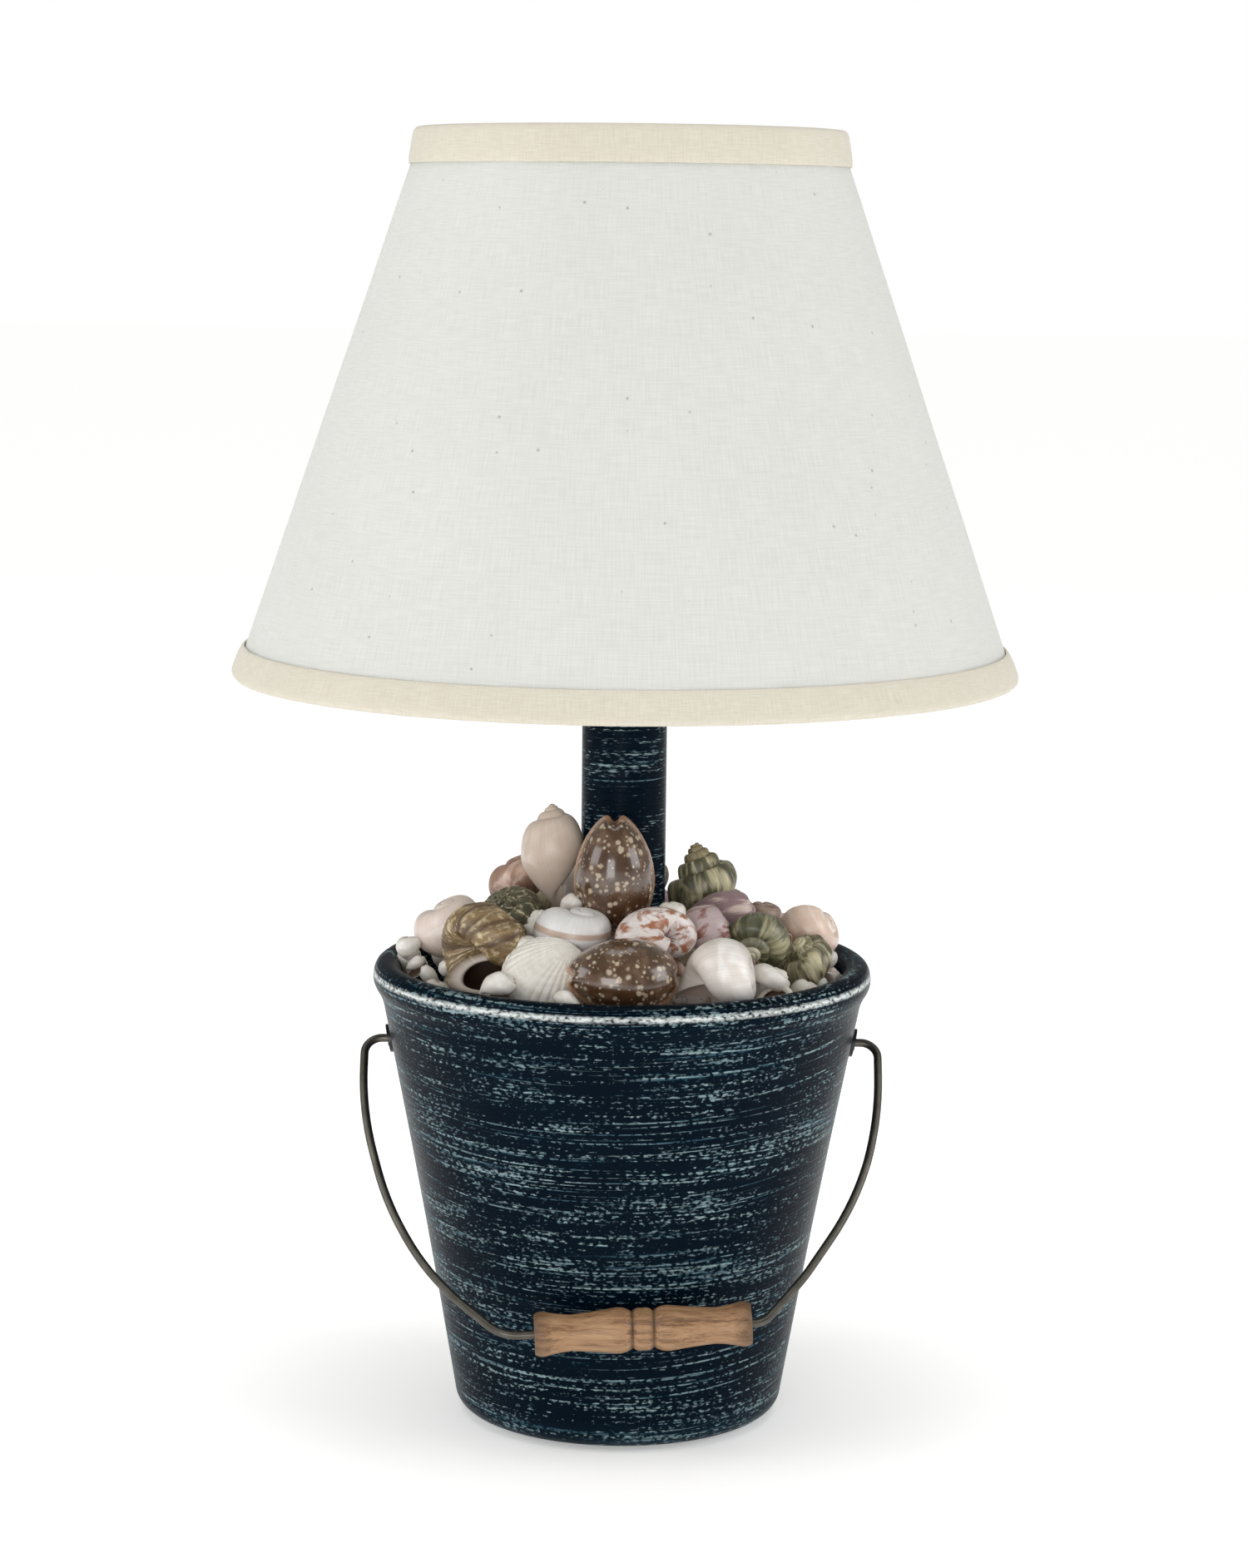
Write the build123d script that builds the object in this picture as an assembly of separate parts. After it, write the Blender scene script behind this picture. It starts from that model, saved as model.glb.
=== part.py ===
from build123d import *
import os
from math import cos, radians, sin, sqrt

# Table lamp whose base is a brushed sand bucket heaped with sea shells. Millimetres, +Z up, -Y the front.
# The origin is on the table, at the centre of the bucket's foot.

# ---- bucket ----
FELT = 1.5
BUCKET_FOOT_R = 66.5
BUCKET_RECESS_R = 58
FLOOR_UNDER = 18
FLOOR_TOP = 26
WALL_LOW = (76.9, 10.5)
WALL_MID = (94.9, 112)
WALL_HIGH = (110.4, 191.5)
WALL = 8
RIM_TOP = 215
INNER_LOW_R = 72
INNER_RIM_R = 102.5
CORD_INLET_Z = 10
CORD_INLET_R = 3.5
INLET_FACE_Y = 73.5

# ---- bail handle ----
PIVOT_Z = 175.6
BAIL_HANG = 41.5
BAIL_WIRE_R = 1.9
RUNNING_GAP = 0.08
EAR_R = 6.5
EAR_BARREL_R = 3.5
EAR_PROUD = 1.8
GRIP_CENTRE_U = 11
GRIP_LENGTH = 97

# ---- column and rod ----
COLUMN_R = 19.6
COLUMN_BORE_R = 12
COLUMN_TOP = 345
ROD_R = 4.9
ROD_BORE_R = 3.25
ROD_HOLE_R = 5.1
ROD_BOTTOM = 7.5
ROD_TOP = 361
CAP_THICK = 3

# ---- filling ----
MOUND_EDGE_R = 98
MOUND_EDGE_Z = 190
MOUND_SLOPE = 0.55

# ---- harp and socket ----
SADDLE_Z = COLUMN_TOP + CAP_THICK
SADDLE_THICK = 1.5
HARP_LEG_X = 26.25
HARP_WIRE_R = 1.8
HARP_FOOT_Z = SADDLE_Z + 24
HARP_TOP_Z = 561
POST_R = 2.6
STUD_R = 3.17
SOCKET_Z = SADDLE_Z + 5.5
SWITCH_Z = 383
SCREW_BORE_R = 13.05
BULB_SEAT_Z = 419
BULB_NECK_R = 13.2
BULB_BALL_R = 30
BULB_BALL_Z = 470.5
BULB_GLASS = 0.8

# ---- shade ----
SHADE_LOW_Z = 348.75
SHADE_HIGH_Z = 594.25
SHADE_REF_R = 99.3
SHADE_REF_Z = 579
SHADE_TAPER = 0.3434
SHADE_CARD = 1.27
RING_WIRE_R = 1.75
SPIDER_WIRE_R = 1.5
HUB_Z = 565.1
HUB_THICK = 2.5
SHADE_TOP = 596
FINIAL_BALL_R = 8


def face_rz(outline):
    """A face from an outline drawn in radius and height."""
    return make_face(Plane.XZ * outline)


def turned(*points):
    """A ring or disc turned about Z from straight-sided points in radius and height."""
    return revolve(face_rz(Polyline(*points, close=True)), Axis.Z)


def tube(outer_r, inner_r, low, high):
    return turned((inner_r, low), (outer_r, low), (outer_r, high), (inner_r, high))


def disc(radius, low, high):
    return Pos(0, 0, low) * Cylinder(radius, high - low, align=(Align.CENTER, Align.CENTER, Align.MIN))


def rod_along(axis_plane, radius, length):
    """A round bar that starts at the plane and runs along its normal."""
    return axis_plane * Cylinder(radius, length, align=(Align.CENTER, Align.CENTER, Align.MIN))


def bent_wire(points, radii, radius):
    """A round wire along straight runs joined by arcs, one arc radius for each corner."""
    path = FilletPolyline(*points, radius=radii)
    start = Plane(origin=path @ 0, z_dir=path % 0)
    return sweep(start * Circle(radius), path=path)


# ---------------------------------------------------------------- bucket

def bucket_wall_face(proud=0):
    """The outside of the bucket from foot to lip, filled to the axis, with the wall moved out by proud."""
    low = (WALL_LOW[0] + proud, WALL_LOW[1])
    mid = (WALL_MID[0] + proud, WALL_MID[1])
    high = (WALL_HIGH[0] + proud, WALL_HIGH[1])
    rest = Polyline(high, (0, high[1]), (0, low[1]), low)
    return face_rz(ThreePointArc(low, mid, high) + rest)


def make_bucket():
    """Thrown bucket: ring foot, flaring wall, thick rolled lip, floor with the rod's hole."""
    outline = Polyline((BUCKET_RECESS_R, FELT), (BUCKET_FOOT_R, FELT))
    outline += ThreePointArc((BUCKET_FOOT_R, FELT), (73.7, 3.9), WALL_LOW)
    outline += ThreePointArc(WALL_LOW, WALL_MID, WALL_HIGH)
    outline += ThreePointArc(WALL_HIGH, (111.7, 197), (114.6, 202.5))
    outline += ThreePointArc((114.6, 202.5), (115.8, 208.5), (114.3, 212.8))
    outline += ThreePointArc((114.3, 212.8), (109.2, RIM_TOP), (104.4, 212.8))
    outline += ThreePointArc((104.4, 212.8), (102.8, 209.5), (INNER_RIM_R, 206))
    outline += Polyline((INNER_RIM_R, 206), (102.2, 190), (INNER_LOW_R, FLOOR_TOP + 4),
                        (INNER_LOW_R - 4, FLOOR_TOP), (ROD_HOLE_R, FLOOR_TOP), (ROD_HOLE_R, FLOOR_UNDER),
                        (BUCKET_RECESS_R, FLOOR_UNDER), (BUCKET_RECESS_R, FELT))
    body = revolve(face_rz(outline), Axis.Z)
    inlet = Plane((0, 50, CORD_INLET_Z), z_dir=(0, 1, 0))
    body -= rod_along(inlet, CORD_INLET_R + 1.5, 40)
    body -= rod_along(inlet.offset(INLET_FACE_Y - 50), 7.3, 20)
    for side in (-1, 1):
        body -= rod_along(Plane((side * 90, 0, PIVOT_Z), z_dir=(side, 0, 0)), EAR_BARREL_R, 30)
    return body


def make_cord_bushing():
    """Flanged plastic bushing that lines the lamp cord's hole low in the back wall."""
    outside = Plane((0, BUCKET_RECESS_R + 0.5, CORD_INLET_Z), z_dir=(0, 1, 0))
    reach = INLET_FACE_Y + 2 - outside.origin.Y
    bushing = rod_along(outside, CORD_INLET_R + 1.45, reach)
    bushing += rod_along(outside.offset(reach - 2), 7, 2)
    return bushing - rod_along(outside.offset(-1), CORD_INLET_R, reach + 2)


def make_ear(side):
    """Black eyelet: a washer that hugs the wall, and a barrel through it that the bail's end turns in."""
    across = Plane((side * 90, 0, PIVOT_Z), z_dir=(side, 0, 0))
    outside = revolve(bucket_wall_face(EAR_PROUD), Axis.Z)
    wall = revolve(bucket_wall_face(), Axis.Z)
    washer = (rod_along(across, EAR_R, 30) & outside) - wall
    barrel = rod_along(across.offset(9.5), EAR_BARREL_R - 0.03, 9.5)
    ear = washer + barrel
    return ear - rod_along(across, BAIL_WIRE_R + RUNNING_GAP, 30)


def make_filler():
    """Foam filling that carries the shells: it fills the bucket and rises to a cone round the column."""
    gap = 0.3
    top_r = COLUMN_R + gap
    top_z = MOUND_EDGE_Z + (MOUND_EDGE_R - top_r) * MOUND_SLOPE
    return turned((top_r, FLOOR_TOP), (INNER_LOW_R - 5, FLOOR_TOP), (INNER_LOW_R - gap, FLOOR_TOP + 5),
                  (MOUND_EDGE_R, MOUND_EDGE_Z - 18), (MOUND_EDGE_R, MOUND_EDGE_Z), (top_r, top_z))


# ---------------------------------------------------------------- bail handle
# The bail is drawn flat: u runs across the bucket and v away from the pivots.

GRIP_LEFT = (-52, 151.5)
GRIP_RIGHT = (65, 143.6)
BAIL_ROUTE = [(-100.5, 0), (-119.8, 0), (-119.6, 38), (-106.2, 86), (-85.5, 123), GRIP_LEFT,
              GRIP_RIGHT, (83.6, 121), (107.8, 83), (119.4, 41), (119.8, 0), (100.5, 0)]
BAIL_BENDS = [8, 170, 150, 120, 20, 10, 90, 150, 180, 8]


def bail_point(u, v):
    """Where a point of the flat bail lies as it hangs forward of the bucket."""
    return (u, -v * sin(radians(BAIL_HANG)), PIVOT_Z - v * cos(radians(BAIL_HANG)))


def grip_plane():
    """Plane at the middle of the grip, its normal along the wire."""
    run = (GRIP_RIGHT[0] - GRIP_LEFT[0], GRIP_RIGHT[1] - GRIP_LEFT[1])
    middle_v = GRIP_LEFT[1] + run[1] * (GRIP_CENTRE_U - GRIP_LEFT[0]) / run[0]
    start = Vector(*bail_point(*GRIP_LEFT))
    end = Vector(*bail_point(*GRIP_RIGHT))
    return Plane(origin=bail_point(GRIP_CENTRE_U, middle_v), z_dir=end - start)


def make_bail_wire():
    return bent_wire([bail_point(u, v) for u, v in BAIL_ROUTE], BAIL_BENDS, BAIL_WIRE_R)


def make_grip():
    """Turned wooden grip: flared ends, two swells, and a bead between grooves at the middle."""
    half = GRIP_LENGTH / 2
    bore = BAIL_WIRE_R + RUNNING_GAP
    side = Polyline((bore, 0), (9.4, 0)) + ThreePointArc((9.4, 0), (9.2, 3.2), (8.1, 4.8))
    side += ThreePointArc((8.1, 4.8), (9.2, 6.6), (10.1, 12.5))
    side += ThreePointArc((10.1, 12.5), (8.9, 23), (8.1, 32))
    side += ThreePointArc((8.1, 32), (8.8, 38.5), (9.9, 43.5))
    side += ThreePointArc((9.9, 43.5), (9.9, 46.6), (9, half))
    side += Polyline((9, half), (bore, half), (bore, 0))
    right = revolve(face_rz(side), Axis.Z)
    return grip_plane() * (right + mirror(right, Plane.XY))


# ---------------------------------------------------------------- column and rod

def make_column_cap():
    """Pressed cap that closes the column's top and centres it on the rod."""
    spigot = COLUMN_BORE_R - 0.1
    return turned((ROD_HOLE_R, COLUMN_TOP - 6), (spigot, COLUMN_TOP - 6), (spigot, COLUMN_TOP),
                  (COLUMN_R + 1, COLUMN_TOP), (COLUMN_R + 1, COLUMN_TOP + 1), (COLUMN_R - 1, SADDLE_Z),
                  (ROD_HOLE_R, SADDLE_Z))


def hex_nut(across_flats, low, high):
    nut = extrude(RegularPolygon(across_flats / 2, 6, major_radius=False), high - low)
    return Pos(0, 0, low) * nut - disc(ROD_R + 0.05, low - 1, high + 1)


# ---------------------------------------------------------------- harp

def make_harp_saddle():
    """Bent steel strip clamped under the socket, with a post at each end for the harp."""
    strip = Box(2 * HARP_LEG_X + 1.5, 16, SADDLE_THICK, align=(Align.CENTER, Align.CENTER, Align.MIN))
    saddle = Pos(0, 0, SADDLE_Z) * strip
    for side in (-1, 1):
        arm = Box(SADDLE_THICK, 9, 14, align=(Align.CENTER, Align.CENTER, Align.MIN))
        saddle += Pos(side * HARP_LEG_X, 0, SADDLE_Z) * arm
        saddle += Pos(side * HARP_LEG_X, 0, 0) * disc(POST_R, SADDLE_Z + 13.5, HARP_FOOT_Z)
    return saddle - disc(ROD_HOLE_R, SADDLE_Z - 1, SADDLE_Z + 3)


def make_harp_wire():
    """Wire loop that bellies round the bulb and carries the shade."""
    left = [(-HARP_LEG_X, 0, HARP_FOOT_Z + 0.1), (-HARP_LEG_X, 0, 412), (-55, 0, 456), (-55, 0, 508),
            (-26, 0, HARP_TOP_Z)]
    right = [(-x, y, z) for x, y, z in reversed(left)]
    bends = [50, 60, 60, 25]
    return bent_wire(left + right, bends + bends[::-1], HARP_WIRE_R)


def make_harp_stud():
    """Crimped plate on the harp's crown, with the threaded stud that the shade sits on."""
    stud = disc(8, HARP_TOP_Z - 1, HUB_Z - 0.1) + disc(STUD_R, HARP_TOP_Z, HUB_Z + 15)
    crown = Plane((-20, 0, HARP_TOP_Z), z_dir=(1, 0, 0))
    return stud - rod_along(crown, HARP_WIRE_R + 0.02, 40)


def make_ferrule(side):
    """Sleeve that slides up the harp's leg to free it from the saddle's post."""
    low = HARP_FOOT_Z - 8
    shoulder = HARP_FOOT_Z + 0.1
    high = HARP_FOOT_Z + 8
    wide = POST_R + RUNNING_GAP
    narrow = HARP_WIRE_R + RUNNING_GAP
    sleeve = turned((wide, low), (4.2, low), (4.2, high - 1), (3.4, high), (narrow, high),
                    (narrow, shoulder), (wide, shoulder))
    return Pos(side * HARP_LEG_X, 0, 0) * sleeve


# ---------------------------------------------------------------- socket and bulb

def switch_hole(radius, reach):
    return rod_along(Plane((0, 0, SWITCH_Z), z_dir=(0, -1, 0)), radius, reach)


def make_socket_cap():
    z = SOCKET_Z
    outline = Polyline((ROD_R + 0.05, z), (7, z), (7, z + 5), (12, z + 8.5), (15.6, z + 12.5), (16.4, z + 17),
                       (16.4, z + 23), (15.5, z + 23), (15.5, z + 17.5), (14.8, z + 13.5),
                       (11.6, z + 9.7), (6.5, z + 7.5), (ROD_R + 0.05, z + 7.5), close=True)
    return revolve(face_rz(outline), Axis.Z)


def make_socket_interior():
    """Moulded block that carries the contacts and the switch."""
    block = disc(13.5, SOCKET_Z + 19, SWITCH_Z + 8.5)
    return block - switch_hole(1.6 + RUNNING_GAP, 20)


def make_switch_knob():
    """Small flat-sided turn knob."""
    out = Plane((0, -19, SWITCH_Z), z_dir=(0, -1, 0))
    knob = rod_along(out, 5.5, 13) & (out.offset(6.5) * Box(7, 12, 13))
    knob += rod_along(out, 5.5, 4)
    return knob - rod_along(out.offset(-1), 1.6, 8)


def bulb_solid(inset):
    """The bulb's outer shape, drawn in by inset and filled to the axis."""
    neck = BULB_NECK_R - inset
    ball = BULB_BALL_R - inset
    shoulder = (ball * cos(radians(30)), BULB_BALL_Z - ball / 2)
    side = Polyline((0, BULB_SEAT_Z), (neck, BULB_SEAT_Z), (neck, BULB_SEAT_Z + 11), shoulder)
    side += ThreePointArc(shoulder, (ball, BULB_BALL_Z), (0, BULB_BALL_Z + ball))
    side += Polyline((0, BULB_BALL_Z + ball), (0, BULB_SEAT_Z))
    return revolve(face_rz(side), Axis.Z)


# ---------------------------------------------------------------- shade

def shade_r(z, inside=False):
    """Radius of the shade's card at a height, outside or inside."""
    outer = SHADE_REF_R + SHADE_TAPER * (SHADE_REF_Z - z)
    return outer - SHADE_CARD if inside else outer


def make_shade_panel():
    """Cone of fabric laminated to card."""
    return turned((shade_r(SHADE_LOW_Z, True), SHADE_LOW_Z), (shade_r(SHADE_LOW_Z), SHADE_LOW_Z),
                  (shade_r(SHADE_HIGH_Z), SHADE_HIGH_Z), (shade_r(SHADE_HIGH_Z, True), SHADE_HIGH_Z))


def shade_ring(z):
    """Steel ring that touches the inside of the card."""
    return Pos(0, 0, z) * Torus(shade_r(z, True) - RING_WIRE_R - 0.15, RING_WIRE_R)


def make_shade_frame():
    """Hub, three bent arms and the top ring, welded into one frame."""
    ring_z = SHADE_HIGH_Z - RING_WIRE_R
    ring_r = shade_r(ring_z, True) - RING_WIRE_R - 0.15
    hub_middle = HUB_Z + HUB_THICK / 2
    frame = tube(11, STUD_R + RUNNING_GAP, HUB_Z, HUB_Z + HUB_THICK)
    for angle in (90, 210, 330):
        arm = bent_wire([(9, 0, hub_middle), (73, 0, hub_middle), (ring_r, 0, ring_z - 0.5)], [12],
                        SPIDER_WIRE_R)
        frame += Rot(0, 0, angle) * arm
    return frame + shade_ring(ring_z)


def make_trim_top():
    """Rolled fabric band over the shade's top edge and ring."""
    ring_in = shade_r(SHADE_HIGH_Z, True) - 2 * RING_WIRE_R - 0.4
    outline = Polyline((shade_r(SHADE_REF_Z), SHADE_REF_Z), (SHADE_REF_R + 1.1, SHADE_REF_Z + 0.3),
                       (99.9, SHADE_REF_Z + 8), (98.5, SHADE_HIGH_Z - 0.5))
    outline += ThreePointArc((98.5, SHADE_HIGH_Z - 0.5), (97.8, 595.5), (96, SHADE_TOP))
    outline += Polyline((96, SHADE_TOP), (ring_in, SHADE_TOP), (ring_in, SHADE_HIGH_Z),
                        (shade_r(SHADE_HIGH_Z), SHADE_HIGH_Z), (shade_r(SHADE_REF_Z), SHADE_REF_Z))
    return revolve(face_rz(outline), Axis.Z)


def make_trim_bottom():
    """Rolled fabric band round the shade's bottom edge and ring."""
    top_z = SHADE_LOW_Z + 13.5
    ring_in = shade_r(SHADE_LOW_Z, True) - 2 * RING_WIRE_R - 1.2
    outline = Polyline((shade_r(top_z), top_z), (175.6, top_z - 0.6))
    outline += ThreePointArc((175.6, top_z - 0.6), (179.7, 354), (180.8, 350))
    outline += ThreePointArc((180.8, 350), (180.3, 347.7), (178, 347))
    outline += Polyline((178, 347), (ring_in, 347), (ring_in, SHADE_LOW_Z),
                        (shade_r(SHADE_LOW_Z), SHADE_LOW_Z), (shade_r(top_z), top_z))
    return revolve(face_rz(outline), Axis.Z)


def make_finial():
    """Turned ball finial that screws down on the stud over the shade's hub."""
    low = HUB_Z + HUB_THICK + 0.1
    neck = 5.2
    ball_z = low + 16
    neck_top = (neck, ball_z - sqrt(FINIAL_BALL_R**2 - neck**2))
    outline = Polyline((0, low), (8, low), (8, low + 2), (neck, low + 3.8), neck_top)
    outline += ThreePointArc(neck_top, (FINIAL_BALL_R, ball_z), (0, ball_z + FINIAL_BALL_R))
    outline += Line((0, ball_z + FINIAL_BALL_R), (0, low))
    return revolve(face_rz(outline), Axis.Z) - disc(STUD_R + RUNNING_GAP, low - 1, HUB_Z + 15.5)


# ---------------------------------------------------------------- shells
# Each shell is a plain egg-shaped body: its centre, its three half sizes, and its turn about X, Y and Z.

SHELLS = {
    "cowrie_upright": [((-4, -34, 259.5), (17.4, 12, 26.5), (-6, 0, 0))],
    "cowrie_front": [((0, -82, 222), (24, 14, 15.5), (0, 2, 3))],
    "fig_shell": [((-33, -5, 262), (12.6, 12, 23), (0, 4, 0))],
    "brown_snail": [((-49, 17, 247), (13, 12, 12), (0, 0, 0))],
    "beaded_turban": [((-53, -17, 236), (16, 13, 12), (0, 0, 0))],
    "olive_turban": [((-62, -49, 226.5), (20.5, 16, 19), (0, 0, 30))],
    "pink_moon": [((-82, -7, 229), (13.5, 13, 13), (0, 0, 0))],
    "banded_bonnet": [((-23, -49, 234), (15.5, 12.5, 12), (0, 0, 0))],
    "white_drupe": [((-38, -34, 235), (6.5, 7, 7.5), (0, 0, 0))],
    "cockle": [((-35, -71, 218), (15, 8.5, 14), (-25, 0, -20))],
    "blotched_olive": [((15, -57, 233), (20, 12, 12), (0, 12, 0))],
    "mauve_cowrie": [((36, -37, 236), (13, 10, 10), (0, 10, 30))],
    "purple_cowrie": [((46, -10, 239), (12.5, 9.5, 9.5), (0, 10, 0))],
    "spire_turban": [((37, 14, 248), (15, 14, 17.5), (0, 0, 0))],
    "cream_snail": [((66, 10, 233), (7.5, 7.5, 7.5), (0, 0, 0))],
    "peach_moon": [((87, 3, 229), (13.5, 12.5, 11.5), (0, 0, 0))],
    "striped_turban": [((62, -30, 228.5), (13.5, 13.5, 13.5), (0, 0, 0))],
    "knobbed_turban": [((84, -21, 217), (11.5, 12, 12.5), (0, 0, 0))],
    "grey_snail": [((95, 4, 212), (5, 7, 7), (0, 0, 0))],
    "white_moon": [((42, -73, 221), (18.5, 14, 15), (0, 0, 25))],
    "small_white_shells": [
        ((-55, -76, 214), (8, 7, 8), (0, 0, 0)),
        ((-24, -92, 211), (6, 5.5, 6), (0, 0, 0)),
        ((67, -58, 213.5), (11, 9, 9.5), (0, 0, 0)),
        ((-99, -10, 220), (5.2, 5.2, 5.2), (0, 0, 0)),
        ((-95, -14, 212), (4.5, 4.5, 4.5), (0, 0, 0)),
        ((-87, -25, 210), (5, 5, 5), (0, 0, 0)),
    ],
    "back_shells": [
        ((72, 45, 216), (14, 12, 12), (0, 0, 40)),
        ((51, 67, 215), (13, 12, 12), (0, 0, 0)),
        ((23, 81, 215), (13.5, 12, 12), (0, 0, 0)),
        ((-7, 84, 215), (13.5, 12, 12), (0, 0, 0)),
        ((-36, 76, 215), (13.5, 12, 12), (0, 0, 0)),
        ((-61, 57, 216), (14, 12, 12.5), (0, 0, 0)),
        ((-78, 29, 217), (13, 13, 12.5), (0, 0, 0)),
        ((46, 40, 229), (12, 10.5, 10.5), (0, 0, 0)),
        ((17, 55, 229), (14, 11.5, 11.5), (0, 0, 0)),
        ((-14, 55, 230), (14, 12, 12), (0, 0, 0)),
        ((-43, 44, 229), (13.5, 11.5, 12), (0, 0, 0)),
        ((9, 34, 244), (12, 10.5, 12), (0, 0, 0)),
        ((-19, 33, 243), (12, 11, 12), (0, 0, 0)),
    ],
}


def make_shell(centre, half_sizes, turn):
    return Pos(*centre) * Rot(*turn) * scale(Sphere(1), by=half_sizes)


# ---------------------------------------------------------------- all pieces

def make_pieces():
    """Every piece by its name, in place."""
    seat = SWITCH_Z + 8.5
    pieces = {
        "base_felt": disc(BUCKET_FOOT_R - 2, 0, FELT),
        "bucket_body": make_bucket(),
        "bottom_washer": tube(16, ROD_HOLE_R, FLOOR_UNDER - 2, FLOOR_UNDER),
        "bottom_nut": hex_nut(16, FLOOR_UNDER - 7, FLOOR_UNDER - 2),
        "cord_bushing": make_cord_bushing(),
        "threaded_rod": tube(ROD_R, ROD_BORE_R, ROD_BOTTOM, ROD_TOP),
        "column_tube": tube(COLUMN_R, COLUMN_BORE_R, FLOOR_TOP, COLUMN_TOP),
        "column_locator": tube(COLUMN_BORE_R - 0.1, ROD_HOLE_R, FLOOR_TOP, FLOOR_TOP + 6),
        "column_cap": make_column_cap(),
        "filler_mound": make_filler(),
        "ear_left": make_ear(-1),
        "ear_right": make_ear(1),
        "bail_wire": make_bail_wire(),
        "bail_grip": make_grip(),
        "harp_saddle": make_harp_saddle(),
        "saddle_nut": hex_nut(14, SADDLE_Z + SADDLE_THICK, SOCKET_Z),
        "harp_wire": make_harp_wire(),
        "harp_stud": make_harp_stud(),
        "harp_ferrule_left": make_ferrule(-1),
        "harp_ferrule_right": make_ferrule(1),
        "socket_cap": make_socket_cap(),
        "socket_shell": tube(15.4, 14.7, SOCKET_Z + 18, 420) - switch_hole(3.2, 20),
        "socket_liner": tube(14.6, 13.7, SOCKET_Z + 18.5, 421) - switch_hole(3.2, 20),
        "socket_interior": make_socket_interior(),
        "center_contact": disc(3, seat, seat + 1.5),
        "screw_shell": tube(13.55, SCREW_BORE_R, seat, 417.5),
        "switch_stem": switch_hole(1.6, 26) - switch_hole(2, 2),
        "switch_knob": make_switch_knob(),
        "bulb_contact": turned((0, seat + 1.8), (3, seat + 1.8), (5.2, seat + 4), (5.2, seat + 5.5),
                               (0, seat + 5.5)),
        "bulb_base": turned((0, seat + 5.5), (8, seat + 5.5), (SCREW_BORE_R - 0.08, seat + 8.5),
                            (SCREW_BORE_R - 0.08, BULB_SEAT_Z), (0, BULB_SEAT_Z)),
        "bulb_glass": bulb_solid(0) - bulb_solid(BULB_GLASS),
        "shade_frame": make_shade_frame(),
        "shade_bottom_ring": shade_ring(SHADE_LOW_Z + RING_WIRE_R),
        "shade_panel": make_shade_panel(),
        "shade_trim_top": make_trim_top(),
        "shade_trim_bottom": make_trim_bottom(),
        "finial": make_finial(),
    }
    for name, bodies in SHELLS.items():
        pieces[name] = Compound(children=[make_shell(*body) for body in bodies])
    return pieces


os.makedirs("parts", exist_ok=True)
for name, shape in make_pieces().items():
    export_step(shape, f"parts/{name}.step")
print("grip middle", grip_plane().origin, "along", grip_plane().z_dir)
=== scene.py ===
import bpy
import bmesh
import random
from math import atan2, cos, exp, hypot, pi, radians, sin, tau
from mathutils import Matrix, Vector, noise


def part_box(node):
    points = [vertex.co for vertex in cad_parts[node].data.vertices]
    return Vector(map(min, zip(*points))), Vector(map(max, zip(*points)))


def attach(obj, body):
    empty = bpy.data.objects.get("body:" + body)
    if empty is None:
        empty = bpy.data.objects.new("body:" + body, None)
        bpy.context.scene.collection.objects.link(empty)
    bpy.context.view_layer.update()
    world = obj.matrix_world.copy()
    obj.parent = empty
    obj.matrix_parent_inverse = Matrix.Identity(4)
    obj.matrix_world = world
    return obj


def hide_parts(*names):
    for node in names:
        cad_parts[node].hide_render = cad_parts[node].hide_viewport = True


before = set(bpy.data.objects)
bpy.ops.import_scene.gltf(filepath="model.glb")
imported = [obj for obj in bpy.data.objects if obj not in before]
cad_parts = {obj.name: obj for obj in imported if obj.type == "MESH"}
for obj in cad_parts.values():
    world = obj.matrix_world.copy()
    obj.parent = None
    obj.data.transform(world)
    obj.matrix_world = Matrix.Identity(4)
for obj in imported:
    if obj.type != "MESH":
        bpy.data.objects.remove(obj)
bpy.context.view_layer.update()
mm = 0.001


# small helpers

def linear(hexColour):
    # sRGB hex to the linear values that sockets hold
    parts = [int(hexColour[i:i + 2], 16) / 255 for i in (1, 3, 5)]
    return tuple(c / 12.92 if c <= 0.04045 else ((c + 0.055) / 1.055) ** 2.4 for c in parts) + (1.0,)


def addNode(tree, kind, inputs=None, out=0, **settings):
    # one node with its settings and its linked or fixed inputs; gives back one output socket, or the node
    node = tree.nodes.new("ShaderNode" + kind)
    for name, value in settings.items():
        setattr(node, name, value)
    for key, value in (inputs or {}).items():
        if isinstance(value, bpy.types.NodeSocket):
            tree.links.new(value, node.inputs[key])
        else:
            node.inputs[key].default_value = value
    return node if out is None else node.outputs[out]


def newMaterial(name, **fixed):
    # an empty material with one Principled shader; fixed values go on its own sockets
    material = bpy.data.materials.new(name)
    material.use_nodes = True
    tree = material.node_tree
    tree.nodes.clear()
    shader = addNode(tree, "BsdfPrincipled").node
    for socket, value in fixed.items():
        shader.inputs[socket.replace("_", " ")].default_value = value
    addNode(tree, "OutputMaterial", {"Surface": shader.outputs[0]}, out=None)
    return material, tree, shader


def addPiece(bm, name, materials, body, replaced=(), levels=0):
    # a finished bmesh becomes an object at the origin that rides on a body
    mesh = bpy.data.meshes.new(name)
    bm.to_mesh(mesh)
    bm.free()
    mesh.shade_smooth()
    piece = bpy.data.objects.new(name, mesh)
    bpy.context.scene.collection.objects.link(piece)
    for material in materials:
        mesh.materials.append(material)
    if levels:
        smooth = piece.modifiers.new("smooth", "SUBSURF")
        smooth.levels = levels
        smooth.render_levels = levels
    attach(piece, body)
    if replaced:
        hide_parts(*replaced)
    return piece


def paintNode(name, material):
    # a CAD piece keeps its shape and takes a finish
    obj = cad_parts[name]
    obj.data.materials.clear()
    obj.data.materials.append(material)


# camera, light and floor

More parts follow.
